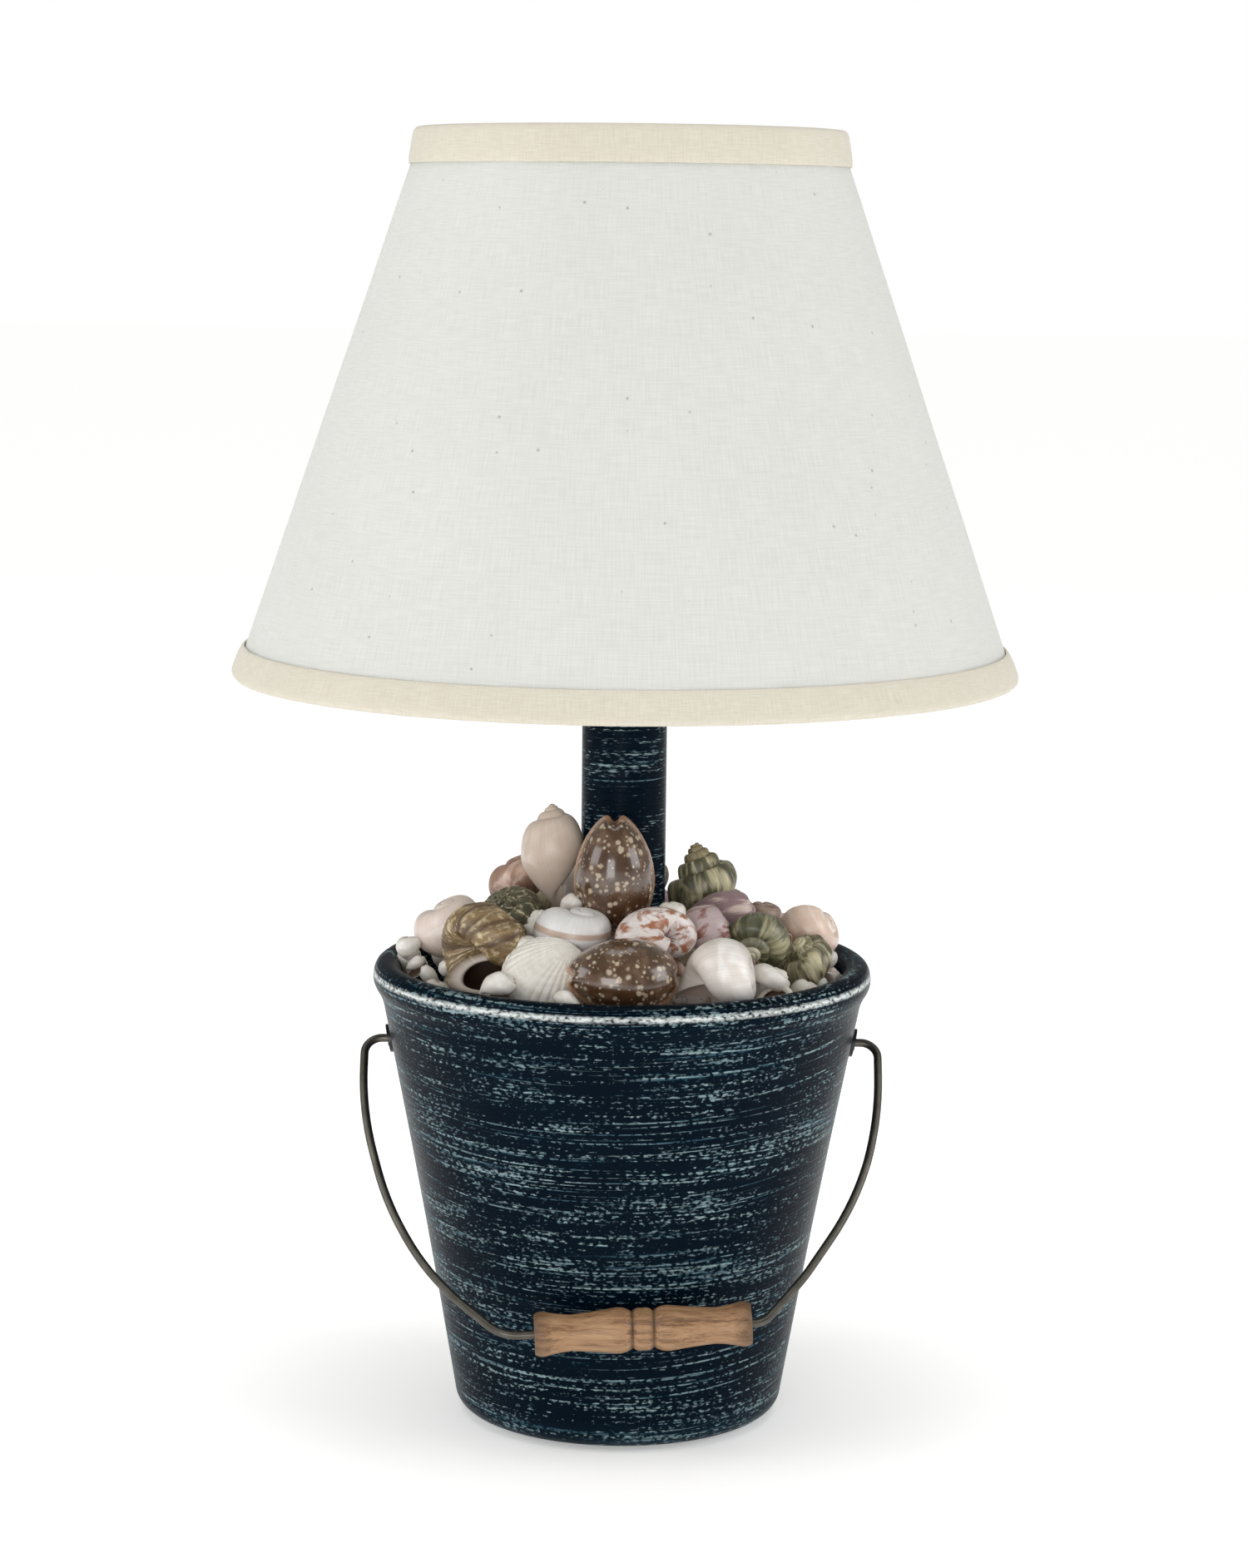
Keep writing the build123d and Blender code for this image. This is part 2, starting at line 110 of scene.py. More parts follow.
view = {"back": 1.735, "height": 0.553, "pitch": 8.4, "roll": 0.6, "lens": 86.96}
lens = bpy.data.cameras.new("camera")
lens.lens = view["lens"]
lens.sensor_width = 36
lens.clip_end = 20
camera = bpy.data.objects.new("camera", lens)
bpy.context.scene.collection.objects.link(camera)
camera.matrix_world = (Matrix.Translation((0, -view["back"], view["height"]))
                       @ Matrix.Rotation(radians(90 - view["pitch"]), 4, "X")
                       @ Matrix.Rotation(radians(view["roll"]), 4, "Z"))
bpy.context.scene.camera = camera

studio = {
    "surround": 0.27, "backdrop": 1.0, "floor": "#F7F7F5", "floorSize": 60, "floorGlow": 0.33, "sky": 1.45,
    "skySpread": 60,
    "lights": [
        ("sideLeft", (-1.9, -0.7, 1.1), (0, 0, 0.3), 1.2, 14),
        ("sideRight", (1.9, -0.6, 1.0), (0, 0, 0.3), 1.2, 15),
        ("frontLow", (-0.4, -2.2, 0.4), (0, 0, 0.2), 0.9, 12),
    ],
}


def setStudio(look):
    # white backdrop, pale floor and large soft lights at both sides and in front
    world = bpy.data.worlds.new("studio")
    world.use_nodes = True
    tree = world.node_tree
    tree.nodes.clear()
    seen = addNode(tree, "LightPath", out="Is Camera Ray")
    strength = addNode(tree, "MapRange", {
        "Value": seen, "To Min": look["surround"], "To Max": look["backdrop"]})
    light = addNode(tree, "Background", {"Color": (1, 1, 1, 1), "Strength": strength})
    addNode(tree, "OutputWorld", {"Surface": light}, out=None)
    bpy.context.scene.world = world
    for name, place, aim, size, power in look["lights"]:
        source = bpy.data.lights.new(name, "AREA")
        source.size = size
        source.energy = power
        lamp = bpy.data.objects.new(name, source)
        bpy.context.scene.collection.objects.link(lamp)
        lamp.location = place
        lamp.rotation_euler = (Vector(aim) - Vector(place)).to_track_quat("-Z", "Y").to_euler()
    # an even light from overhead keeps the floor white out to the horizon
    overhead = bpy.data.lights.new("overhead", "SUN")
    overhead.energy = look["sky"]
    overhead.angle = radians(look["skySpread"])
    bpy.context.scene.collection.objects.link(bpy.data.objects.new("overhead", overhead))
    bm = bmesh.new()
    bmesh.ops.create_grid(bm, x_segments=1, y_segments=1, size=look["floorSize"] / 2)
    mesh = bpy.data.meshes.new("floor")
    bm.to_mesh(mesh)
    bm.free()
    floor = bpy.data.objects.new("floor", mesh)
    bpy.context.scene.collection.objects.link(floor)
    material, tree, shader = newMaterial("paleFloor", Roughness=0.9, Specular_IOR_Level=0.2,
                                         Emission_Color=(1, 1, 1, 1), Emission_Strength=look["floorGlow"])
    shader.inputs["Base Color"].default_value = linear(look["floor"])
    mesh.materials.append(material)
    bpy.context.scene.view_settings.view_transform = "Standard"


setStudio(studio)
print("camera, lights and floor set")


# bucket and column

brushedPaint = {
    "navy": "#000714", "blueBlack": "#011420", "rubbed": "#2F4C5A", "pale": "#93AAAE", "worn": "#DCE2E1",
    "ringHeight": 1.5, "ringLength": 130, "speckLength": 2.3, "speckHeight": 1.25,
    "patchHeight": 26, "patchLength": 80, "strokeLength": 120, "strokeHeight": 1.1, "strokeTilt": -0.1,
    "weights": (0.62, 0.5, 1.5, 0.72, 0.4),   # rings, threads, specks, patches and sparse
    "bare": 1.97, "rubbedThrough": 2.2, "cover": -0.04, "lipRubAndSheen": 0.07, "lipLow": 205,
    "rimRadius": 113.9, "rimLow": 207.6, "rimHigh": 211.2, "footHigh": 16,
}
columnPaint = dict(brushedPaint, ringHeight=1.0, speckHeight=0.8, speckLength=3.2, cover=-0.085,
                   rimRadius=900, strokeTilt=0.0, lipRubAndSheen=0.0)


def brushedEnamel(name, look):
    # dark enamel brushed on in rings over a pale undercoat, rubbed back so that specks of the undercoat
    # show in rows along the brush marks, rubbed through more on the lip top as painted sheen,
    # with a pale line round the rim that is worn paint and painted highlight
    material, tree, shader = newMaterial(name, Specular_IOR_Level=0.035)
    place = addNode(tree, "TexCoord", out="Object")
    noises = []
    for length, height, detail, turn in (
            (look["ringLength"], look["ringHeight"], 1.0, 0.0),
            (look["ringLength"] * 0.45, look["ringHeight"] * 0.55, 1.0, 0.008),
            (look["speckLength"], look["speckHeight"], 2.0, 0.0),
            (look["patchLength"], look["patchHeight"], 2.0, 0.0),
            (look["patchLength"] * 0.4, look["patchHeight"] * 0.3, 1.0, 0.0)):
        scale = (1 / (length * mm), 1 / (length * mm), 1 / (height * mm))
        spread = addNode(tree, "Mapping", {"Vector": place, "Scale": scale, "Rotation": (0, turn, 0)})
        noises.append(addNode(tree, "TexNoise", {"Vector": spread, "Scale": 1.0, "Detail": detail}))
    rings, threads, specks, patches, sparse = noises
    weights = look["weights"]
    level = addNode(tree, "Math", {0: rings, 1: weights[0]}, operation="MULTIPLY")
    for part, weight in zip(noises[1:], weights[1:]):
        level = addNode(tree, "Math", {0: part, 1: weight, 2: level}, operation="MULTIPLY_ADD")
    high = addNode(tree, "SeparateXYZ", {0: place}, out=2)
    # the lip top gets more undercoat rubbed through: rubbed paint and also painted sheen
    lip = addNode(tree, "MapRange", {
        "Value": high, "From Min": look["lipLow"] * mm, "From Max": (look["lipLow"] + 6) * mm,
        "To Max": look["lipRubAndSheen"]})
    level = addNode(tree, "Math", {0: level, 1: lip}, operation="ADD")
    rubbed = addNode(tree, "MapRange", {
        "Value": level, "From Min": look["bare"] - look["cover"],
        "From Max": look["rubbedThrough"] - look["cover"]})
    # a few long strokes dip a little towards the front, broken up by the specks
    dipped = addNode(tree, "Mapping", {"Vector": place, "Rotation": (look["strokeTilt"], 0.02, 0)})
    strokeScale = (1 / (look["strokeLength"] * mm),) * 2 + (1 / (look["strokeHeight"] * mm),)
    stroked = addNode(tree, "Mapping", {"Vector": dipped, "Scale": strokeScale})
    strokes = addNode(tree, "TexNoise", {"Vector": stroked, "Scale": 1.0, "Detail": 0.0})
    strokes = addNode(tree, "MapRange", {"Value": strokes, "From Min": 0.66, "From Max": 0.72})
    gaps = addNode(tree, "MapRange", {"Value": specks, "From Min": 0.42, "From Max": 0.52})
    strokes = addNode(tree, "Math", {0: strokes, 1: gaps}, operation="MULTIPLY")
    rubbed = addNode(tree, "Math", {0: rubbed, 1: strokes}, operation="MAXIMUM")
    # pale line on the outer rounding of the rim, worn paint and also a painted highlight; dusty band at the
    # foot
    flat = addNode(tree, "VectorMath", {0: place, 1: (1, 1, 0)}, operation="MULTIPLY")
    away = addNode(tree, "VectorMath", {0: flat}, out="Value", operation="LENGTH")
    outer = addNode(tree, "MapRange", {
        "Value": away, "From Min": look["rimRadius"] * mm, "From Max": (look["rimRadius"] + 1.2) * mm})
    over = addNode(tree, "MapRange", {
        "Value": high, "From Min": look["rimLow"] * mm, "From Max": (look["rimLow"] + 1.5) * mm})
    under = addNode(tree, "MapRange", {
        "Value": high, "From Min": look["rimHigh"] * mm, "From Max": (look["rimHigh"] - 1.5) * mm})
    wornRimHighlight = addNode(tree, "Math", {0: over, 1: under}, operation="MULTIPLY")
    wornRimHighlight = addNode(tree, "Math", {0: wornRimHighlight, 1: outer}, operation="MULTIPLY")
    ragged = addNode(tree, "MapRange", {"Value": specks, "From Min": 0.3, "From Max": 0.55})
    broken = addNode(tree, "MapRange", {"Value": sparse, "From Min": 0.15, "From Max": 0.4})
    wornRimHighlight = addNode(tree, "Math", {0: wornRimHighlight, 1: ragged}, operation="MULTIPLY")
    wornRimHighlight = addNode(tree, "Math", {0: wornRimHighlight, 1: broken}, operation="MULTIPLY")
    foot = addNode(tree, "MapRange", {
        "Value": high, "From Min": look["footHigh"] * mm, "From Max": 0.0, "To Max": 0.35})
    dust = addNode(tree, "Math", {0: foot, 1: patches}, operation="MULTIPLY")
    # colours
    base = addNode(tree, "Mix", {0: patches, 6: linear(look["navy"]), 7: linear(look["blueBlack"])},
                   out=2, data_type="RGBA")
    bright = addNode(tree, "MapRange", {"Value": threads, "From Min": 0.4, "From Max": 0.66})
    rubbedColour = addNode(tree, "Mix", {0: bright, 6: linear(look["rubbed"]), 7: linear(look["pale"])},
                           out=2, data_type="RGBA")
    share = addNode(tree, "Math", {0: rubbed, 1: 0.85}, operation="MULTIPLY")
    colour = addNode(tree, "Mix", {0: share, 6: base, 7: rubbedColour}, out=2, data_type="RGBA")
    colour = addNode(tree, "Mix", {0: dust, 6: colour, 7: linear(look["rubbed"])}, out=2, data_type="RGBA")
    # the pale rim line: worn paint and painted highlight
    colour = addNode(tree, "Mix", {0: wornRimHighlight, 6: colour, 7: linear(look["worn"])}, out=2, data_type="RGBA")
    tree.links.new(colour, shader.inputs["Base Color"])
    rough = addNode(tree, "MapRange", {"Value": rubbed, "To Min": 0.3, "To Max": 0.6})
    tree.links.new(rough, shader.inputs["Roughness"])
    height = addNode(tree, "Math", {0: rings, 1: 1.4, 2: specks}, operation="MULTIPLY_ADD")
    bump = addNode(tree, "Bump", {"Height": height, "Distance": 0.4 * mm, "Strength": 0.55})
    tree.links.new(bump, shader.inputs["Normal"])
    return material


paintNode("bucket_body", brushedEnamel("brushedEnamelBucket", brushedPaint))
paintNode("column_tube", brushedEnamel("brushedEnamelColumn", columnPaint))
print("bucket and column painted")


# handle, grip and eyelets

wireLook = {"dull": "#302E2B", "bright": "#77736A", "patch": 9, "wornRimHighlight": 0.5}
gripLook = {"light": "#B08C68", "mid": "#94704F", "dark": "#694C36", "endGrainAndGrooveShade": "#4A3526", "ringWidth": 2.6,
            "fibre": 0.4, "length": 40, "ends": (39.5, 48.5), "groove": 4.8, "grooveWidth": 1.6}
eyeletLook = {"black": "#0A0B10", "worn": "#25262C", "patch": 2.5}


def agedSteel(look):
    # drawn steel wire gone dull and dark, brighter where it rubs
    material, tree, shader = newMaterial("agedSteelWire", Metallic=0.9, Roughness=0.38)
    place = addNode(tree, "TexCoord", out="Object")
    patches = addNode(tree, "TexNoise", {"Vector": place, "Scale": 1 / (look["patch"] * mm), "Detail": 4.0})
    colour = addNode(tree, "Mix", {0: patches, 6: linear(look["dull"]), 7: linear(look["bright"])},
                     out=2, data_type="RGBA")
    tree.links.new(colour, shader.inputs["Base Color"])
    pits = addNode(tree, "TexNoise", {"Vector": place, "Scale": 1 / (look["wornRimHighlight"] * mm), "Detail": 2.0})
    bump = addNode(tree, "Bump", {"Height": pits, "Distance": 0.08 * mm, "Strength": 0.4})
    tree.links.new(bump, shader.inputs["Normal"])
    return material


def turnedBeech(look):
    # turned and waxed beech: fine growth lines along the grip and short dark flecks
    material, tree, shader = newMaterial("turnedBeech", Roughness=0.46, Specular_IOR_Level=0.4)
    place = addNode(tree, "TexCoord", out="Object")
    ringScale = (1 / (look["length"] * mm), 1 / (look["ringWidth"] * mm), 1 / (look["ringWidth"] * mm))
    ringPlace = addNode(tree, "Mapping", {"Vector": place, "Scale": ringScale})
    rings = addNode(tree, "TexNoise", {"Vector": ringPlace, "Scale": 1.0, "Detail": 3.0, "Roughness": 0.55})
    fibreScale = (1 / (0.3 * look["length"] * mm), 1 / (look["fibre"] * mm), 1 / (look["fibre"] * mm))
    fibrePlace = addNode(tree, "Mapping", {"Vector": place, "Scale": fibreScale})
    fibre = addNode(tree, "TexNoise", {"Vector": fibrePlace, "Scale": 1.0, "Detail": 2.0})
    tone = addNode(tree, "Math", {0: rings, 1: 1.6, 2: fibre}, operation="MULTIPLY_ADD")
    dark = addNode(tree, "MapRange", {"Value": tone, "From Min": 0.95, "From Max": 1.3})
    light = addNode(tree, "MapRange", {"Value": tone, "From Min": 1.2, "From Max": 1.75})
    colour = addNode(tree, "Mix", {0: dark, 6: linear(look["dark"]), 7: linear(look["mid"])},
                     out=2, data_type="RGBA")
    colour = addNode(tree, "Mix", {0: light, 6: colour, 7: linear(look["light"])}, out=2, data_type="RGBA")
    # end grain and the wood beside it are darker, and the grooves beside the centre bead are painted dark as
    # shade
    low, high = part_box("bail_grip")
    side = addNode(tree, "SeparateXYZ", {0: place})
    side = addNode(tree, "Math", {0: side, 1: (low.x + high.x) / 2}, operation="SUBTRACT")
    side = addNode(tree, "Math", {0: side}, operation="ABSOLUTE")
    ends = addNode(tree, "MapRange", {
        "Value": side, "From Min": look["ends"][0] * mm, "From Max": look["ends"][1] * mm, "To Max": 0.7})
    # painted shade in the grooves beside the centre bead
    groove = addNode(tree, "Math", {0: side, 1: look["groove"] * mm}, operation="SUBTRACT")
    groove = addNode(tree, "Math", {0: groove}, operation="ABSOLUTE")
    groove = addNode(tree, "MapRange", {
        "Value": groove, "From Min": look["grooveWidth"] * mm, "From Max": 0.0, "To Max": 0.75})
    ends = addNode(tree, "Math", {0: ends, 1: groove}, operation="MAXIMUM")
    colour = addNode(tree, "Mix", {0: ends, 6: colour, 7: linear(look["endGrainAndGrooveShade"])}, out=2, data_type="RGBA")
    tree.links.new(colour, shader.inputs["Base Color"])
    bump = addNode(tree, "Bump", {"Height": fibre, "Distance": 0.12 * mm, "Strength": 0.5})
    tree.links.new(bump, shader.inputs["Normal"])
    return material


def bakedEnamel(look):
    # black baked enamel on pressed eyelets, slightly uneven
    material, tree, shader = newMaterial("blackBakedEnamel", Roughness=0.35)
    place = addNode(tree, "TexCoord", out="Object")
    spots = addNode(tree, "TexNoise", {"Vector": place, "Scale": 1 / (look["patch"] * mm), "Detail": 3.0})
    colour = addNode(tree, "Mix", {0: spots, 6: linear(look["black"]), 7: linear(look["worn"])},
                     out=2, data_type="RGBA")
    tree.links.new(colour, shader.inputs["Base Color"])
    bump = addNode(tree, "Bump", {"Height": spots, "Distance": 0.1 * mm, "Strength": 0.4})
    tree.links.new(bump, shader.inputs["Normal"])
    return material


paintNode("bail_wire", agedSteel(wireLook))
paintNode("bail_grip", turnedBeech(gripLook))
eyeletEnamel = bakedEnamel(eyeletLook)
paintNode("ear_left", eyeletEnamel)
paintNode("ear_right", eyeletEnamel)
print("handle done")


# lamp hardware under the shade

def stockMetal(name, colour, stain, roughness, grain):
    # plated or drawn metal: faint stains and a fine grain from turning
    material, tree, shader = newMaterial(name, Metallic=1.0, Roughness=roughness)
    place = addNode(tree, "TexCoord", out="Object")
    patches = addNode(tree, "TexNoise", {"Vector": place, "Scale": 1 / (14 * mm), "Detail": 4.0})
    mixed = addNode(tree, "Mix", {0: patches, 6: linear(colour), 7: linear(stain)}, out=2, data_type="RGBA")
    tree.links.new(mixed, shader.inputs["Base Color"])
    turned = addNode(tree, "Mapping", {"Vector": place, "Scale": (60, 60, 1 / (grain * mm))})
    lines = addNode(tree, "TexNoise", {"Vector": turned, "Scale": 1.0})
    bump = addNode(tree, "Bump", {"Height": lines, "Distance": 0.03 * mm, "Strength": 0.35})
    tree.links.new(bump, shader.inputs["Normal"])
    return material


def stockMoulding(name, colour, mark, roughness, grain, **fixed):
    # moulded, pressed or felted stock with a fine surface grain
    material, tree, shader = newMaterial(name, Roughness=roughness, **fixed)
    place = addNode(tree, "TexCoord", out="Object")
    grains = addNode(tree, "TexNoise", {"Vector": place, "Scale": 1 / (grain * mm), "Detail": 3.0})
    mixed = addNode(tree, "Mix", {0: grains, 6: linear(colour), 7: linear(mark)}, out=2, data_type="RGBA")
    tree.links.new(mixed, shader.inputs["Base Color"])
    bump = addNode(tree, "Bump", {"Height": grains, "Distance": 0.1 * mm, "Strength": 0.4})
    tree.links.new(bump, shader.inputs["Normal"])
    return material


def frostedGlass():
    # acid-etched bulb glass: milky, with light spread inside it
    material, tree, shader = newMaterial("frostedGlass", Roughness=0.35, IOR=1.5, Transmission_Weight=0.25)
    place = addNode(tree, "TexCoord", out="Object")
    veil = addNode(tree, "TexNoise", {"Vector": place, "Scale": 1 / (25 * mm)})
    milk = addNode(tree, "Mix", {0: veil, 6: linear("#F3F2EE"), 7: linear("#E6E5E0")},
                   out=2, data_type="RGBA")
    tree.links.new(milk, shader.inputs["Base Color"])
    return material


# wool felt, pressed: matt and a little fuzzy
feltFinish = stockMoulding("greenFelt", "#24382C", "#33493B", 0.95, 0.35, Sheen_Weight=0.4)
hardware = [
    # spun and drawn lamp brass: a warm clear gloss with brown stains
    (stockMetal("lampBrass", "#C9A35A", "#A8803C", 0.28, 0.3),
     ["column_cap", "harp_saddle", "saddle_nut", "harp_wire", "harp_stud", "harp_ferrule_left",
      "harp_ferrule_right", "socket_cap", "socket_shell", "center_contact", "switch_stem", "bulb_contact",
      "finial"]),
    # zinc-plated steel: cool grey and half dull
    (stockMetal("zincSteel", "#A9ABAA", "#8D8F8F", 0.4, 0.3),
     ["bottom_washer", "bottom_nut", "threaded_rod", "column_locator"]),
    # rolled aluminium: pale and soft
    (stockMetal("threadAluminium", "#C3C5C7", "#A9ABAD", 0.35, 0.4), ["screw_shell", "bulb_base"]),
    # black phenolic, nylon and brown pressed fibre: dark, from waxy to matt
    (stockMoulding("mouldedPhenolic", "#1B1A19", "#262422", 0.45, 0.6), ["socket_interior", "switch_knob"]),
    (stockMoulding("blackNylon", "#131314", "#1D1D1E", 0.5, 0.5), ["cord_bushing"]),
    (stockMoulding("fibreLiner", "#3B342C", "#4A4238", 0.85, 0.4), ["socket_liner"]),
    # dipped white enamel on wire: smooth, with slow waves
    (stockMoulding("whiteEnamelWire", "#E9E8E3", "#DAD8D1", 0.4, 2.0), ["shade_frame", "shade_bottom_ring"]),
    (frostedGlass(), ["bulb_glass"]),
]
for finish, nodes in hardware:
    for node in nodes:
        paintNode(node, finish)
print("hardware finished")


# shade

shadeLook = {"light": "#D7D8D3", "deep": "#CACBC5", "fleck": "#8E8270", "thread": 0.6, "rows": 26,
             "around": 192, "card": 1.2, "lean": 0.3434, "slub": 14, "fleckGap": 9, "fleckShare": 0.72}
trimLook = {"light": "#D8D2C3", "deep": "#C8C1B0", "fleck": "#B5A88E", "thread": 0.55, "around": 224,
            "slub": 9, "fleckGap": 30, "fleckShare": 0.95, "pucker": 0.55}


def wovenLinen(name, look):
    # linen stuck on card: fine even weave, soft slubs and a few brown flecks of bark in the yarn
    material, tree, shader = newMaterial(name, Roughness=0.88, Sheen_Weight=0.2, Sheen_Roughness=0.5,
                                         Specular_IOR_Level=0.25)
    cloth = addNode(tree, "UVMap", uv_map="cloth")
    threads = []
    for scale in ((1 / (look["thread"] * mm), 1 / (look["slub"] * mm), 1),
                  (1 / (look["slub"] * mm), 1 / (look["thread"] * mm), 1)):
        spread = addNode(tree, "Mapping", {"Vector": cloth, "Scale": scale})
        threads.append(addNode(tree, "TexNoise", {"Vector": spread, "Scale": 1.0, "Detail": 1.5},
                               noise_dimensions="2D"))
    weave = addNode(tree, "Math", {0: threads[0], 1: threads[1]})
    place = addNode(tree, "TexCoord", out="Object")
    soft = addNode(tree, "TexNoise", {"Vector": place, "Scale": 1 / (60 * mm), "Detail": 2.0})
    tone = addNode(tree, "Math", {0: soft, 1: 0.5, 2: weave}, operation="MULTIPLY_ADD")
    tone = addNode(tree, "MapRange", {"Value": tone, "From Min": 0.75, "From Max": 1.75})
    colour = addNode(tree, "Mix", {0: tone, 6: linear(look["deep"]), 7: linear(look["light"])},
                     out=2, data_type="RGBA")
    bits = addNode(tree, "TexVoronoi", {"Vector": place, "Scale": 1 / (look["fleckGap"] * mm)}, out=None)
    draw = addNode(tree, "SeparateColor", {0: bits.outputs["Color"]})
    chosen = addNode(tree, "Math", {0: draw, 1: look["fleckShare"]}, operation="GREATER_THAN")
    small = addNode(tree, "MapRange", {
        "Value": bits.outputs["Distance"], "From Min": 0.05, "From Max": 0.1, "To Min": 0.6, "To Max": 0.0})
    fleck = addNode(tree, "Math", {0: chosen, 1: small}, operation="MULTIPLY")
    colour = addNode(tree, "Mix", {0: fleck, 6: colour, 7: linear(look["fleck"])}, out=2, data_type="RGBA")
    tree.links.new(colour, shader.inputs["Base Color"])
    bump = addNode(tree, "Bump", {"Height": weave, "Distance": 0.14 * mm, "Strength": 0.6})
    tree.links.new(bump, shader.inputs["Normal"])
    return material


def clothMap(bm, radius):
    # the cloth's own map: metres round the shade and metres up it
    layer = bm.loops.layers.uv.new("cloth")
    for face in bm.faces:
        middle = face.calc_center_median()
        home = atan2(middle.y, middle.x)
        for loop in face.loops:
            angle = atan2(loop.vert.co.y, loop.vert.co.x)
            if angle - home > pi:
                angle -= tau
            if home - angle > pi:
                angle += tau
            loop[layer].uv = (angle * radius, loop.vert.co.z)


def turnedRing(profile, around):
    # a closed outline in radius and height, spun about the lamp's axis
    bm = bmesh.new()
    corners = [bm.verts.new((r, 0, z)) for r, z in profile]
    edges = [bm.edges.new((a, b)) for a, b in zip(corners, corners[1:] + corners[:1])]
    bmesh.ops.spin(bm, geom=corners + edges, axis=(0, 0, 1), cent=(0, 0, 0), dvec=(0, 0, 0), angle=tau,
                   steps=around, use_merge=True, use_duplicate=False)
    bmesh.ops.recalc_face_normals(bm, faces=bm.faces[:])
    return bm


def pushOut(bm, amount, size, tall=1.0):
    # gentle unevenness in and out from the axis; amount and size in metres
    for vert in bm.verts:
        co = vert.co
        wave = noise.noise(Vector((co.x / size, co.y / size, co.z / (size * tall))))
        vert.co += Vector((co.x, co.y, 0)).normalized() * wave * amount


def trimOutlines(topBox, footBox, cardAt):
    # rolled tape over both edges of the card: outline points as radius and height
    low, high = topBox[0].z, topBox[1].z
    edge = topBox[1].x
    top = [(cardAt(low) + 0.3 * mm, low), (edge - 0.3 * mm, low + 0.4 * mm), (edge - 0.2 * mm, low + 3 * mm),
           (edge - 0.9 * mm, low + 8 * mm), (edge - 1.8 * mm, low + 13 * mm),
           (edge - 2.5 * mm, high - 1.2 * mm),
           (edge - 4.2 * mm, high), (edge - 9 * mm, high), (edge - 11.5 * mm, high - 0.6 * mm),
           (edge - 12 * mm, high - 5 * mm), (edge - 11 * mm, high - 9 * mm),
           (cardAt(high - 8 * mm) - 1.5 * mm, high - 9 * mm),
           (cardAt(high - 3 * mm) - 1.5 * mm, high - 3 * mm),
           (cardAt(high - 3 * mm), high - 2 * mm), (cardAt(low + 4 * mm) + 0.1 * mm, low + 4 * mm)]
    low, high = footBox[0].z, footBox[1].z
    edge = footBox[1].x
    foot = low + 1.75 * mm
    bottom = [(cardAt(high) + 0.1 * mm, high), (cardAt(high) + 1.4 * mm, high - 0.3 * mm),
              (edge - 4.4 * mm, high - 2 * mm), (edge - 2.3 * mm, high - 6 * mm),
              (edge - 0.5 * mm, high - 10.5 * mm), (edge, low + 2.6 * mm), (edge - 1.2 * mm, low + 0.5 * mm),
              (edge - 4 * mm, low), (edge - 7.5 * mm, low + 0.3 * mm), (edge - 8.5 * mm, low + 3 * mm),
              (edge - 9 * mm, low + 8 * mm), (cardAt(foot + 7 * mm) - 1.4 * mm, low + 9 * mm),
              (cardAt(foot) - 1.3 * mm, low + 2.4 * mm), (cardAt(foot) + 0.1 * mm, low + 1.7 * mm),
              (cardAt(foot + 5 * mm) + 0.1 * mm, low + 7 * mm)]
    return {"top": top, "bottom": bottom}


def makeShade(look, trim):
    low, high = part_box("shade_panel")
    wide = high.x
    rise = high.z - low.z
    narrow = wide - look["lean"] * rise
    rows = look["rows"]
    outside = [(wide + (narrow - wide) * k / rows, low.z + rise * k / rows) for k in range(rows + 1)]
    inside = [(r - look["card"] * mm, z) for r, z in reversed(outside)]
    bm = turnedRing(outside + inside, look["around"])
    pushOut(bm, 0.35 * mm, 60 * mm)
    clothMap(bm, (wide + narrow) / 2)
    panel = addPiece(bm, "shadePanel", [wovenLinen("laminatedLinen", look)], "shade",
                     ["shade_panel"])
    tape = wovenLinen("rolledTape", trim)
    outlines = trimOutlines(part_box("shade_trim_top"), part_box("shade_trim_bottom"),
                            lambda z: wide - look["lean"] * (z - low.z))
    for name, node, outline in (("shadeTrimTop", "shade_trim_top", outlines["top"]),
                                ("shadeTrimBottom", "shade_trim_bottom", outlines["bottom"])):
        bm = turnedRing(outline, trim["around"])
        pushOut(bm, trim["pucker"] * mm, 9 * mm, 2.8)
        pushOut(bm, 0.5 * mm, 45 * mm)
        clothMap(bm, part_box(node)[1].x)
        addPiece(bm, name, [tape], "shade", [node], levels=1)


makeShade(shadeLook, trimLook)
print("shade made")


# sea shells
# A coiled shell is one ring, extruded again and again with the same turn and growth about the apex.
# Each vertex keeps how many turns it lies behind the mouth, its place round the tube, and if it is inside.

perTurn = 32
shellSwell = 1.07   # coils are a little larger than their plain solids, so that they touch
formKeys = ("turns", "grow", "reach", "wide", "tall", "drop", "taper", "shoulder", "lip")
formRows = {
    "moon": (3.4, 2.7, 1.0, 0.98, 1.22, 1.3, 0.15, 0.0, 0.9),
    "hollowMoon": (3.4, 2.5, 1.0, 0.84, 1.1, 1.2, 0.05, 0.0, 0.9),
    "openTurban": (4.3, 1.95, 1.0, 0.78, 0.96, 1.55, 0.1, 0.05, 0.66),
    "turban": (4.3, 1.85, 1.0, 0.72, 0.9, 1.62, 0.1, 0.05, 0.84),
    "spire": (5.0, 1.66, 1.0, 0.66, 0.9, 2.5, 0.1, 0.15, 0.86),
    "fig": (4.4, 1.95, 0.62, 0.86, 1.95, 2.75, 0.55, 0.02, 0.94),
    "bonnet": (4.0, 2.1, 1.0, 0.96, 1.75, 2.25, 0.45, 0.1, 0.9),
    "olive": (4.0, 2.0, 0.8, 0.78, 2.1, 2.6, 0.35, 0.05, 0.92),
}
shellForms = {name: dict(zip(formKeys, row)) for name, row in formRows.items()}


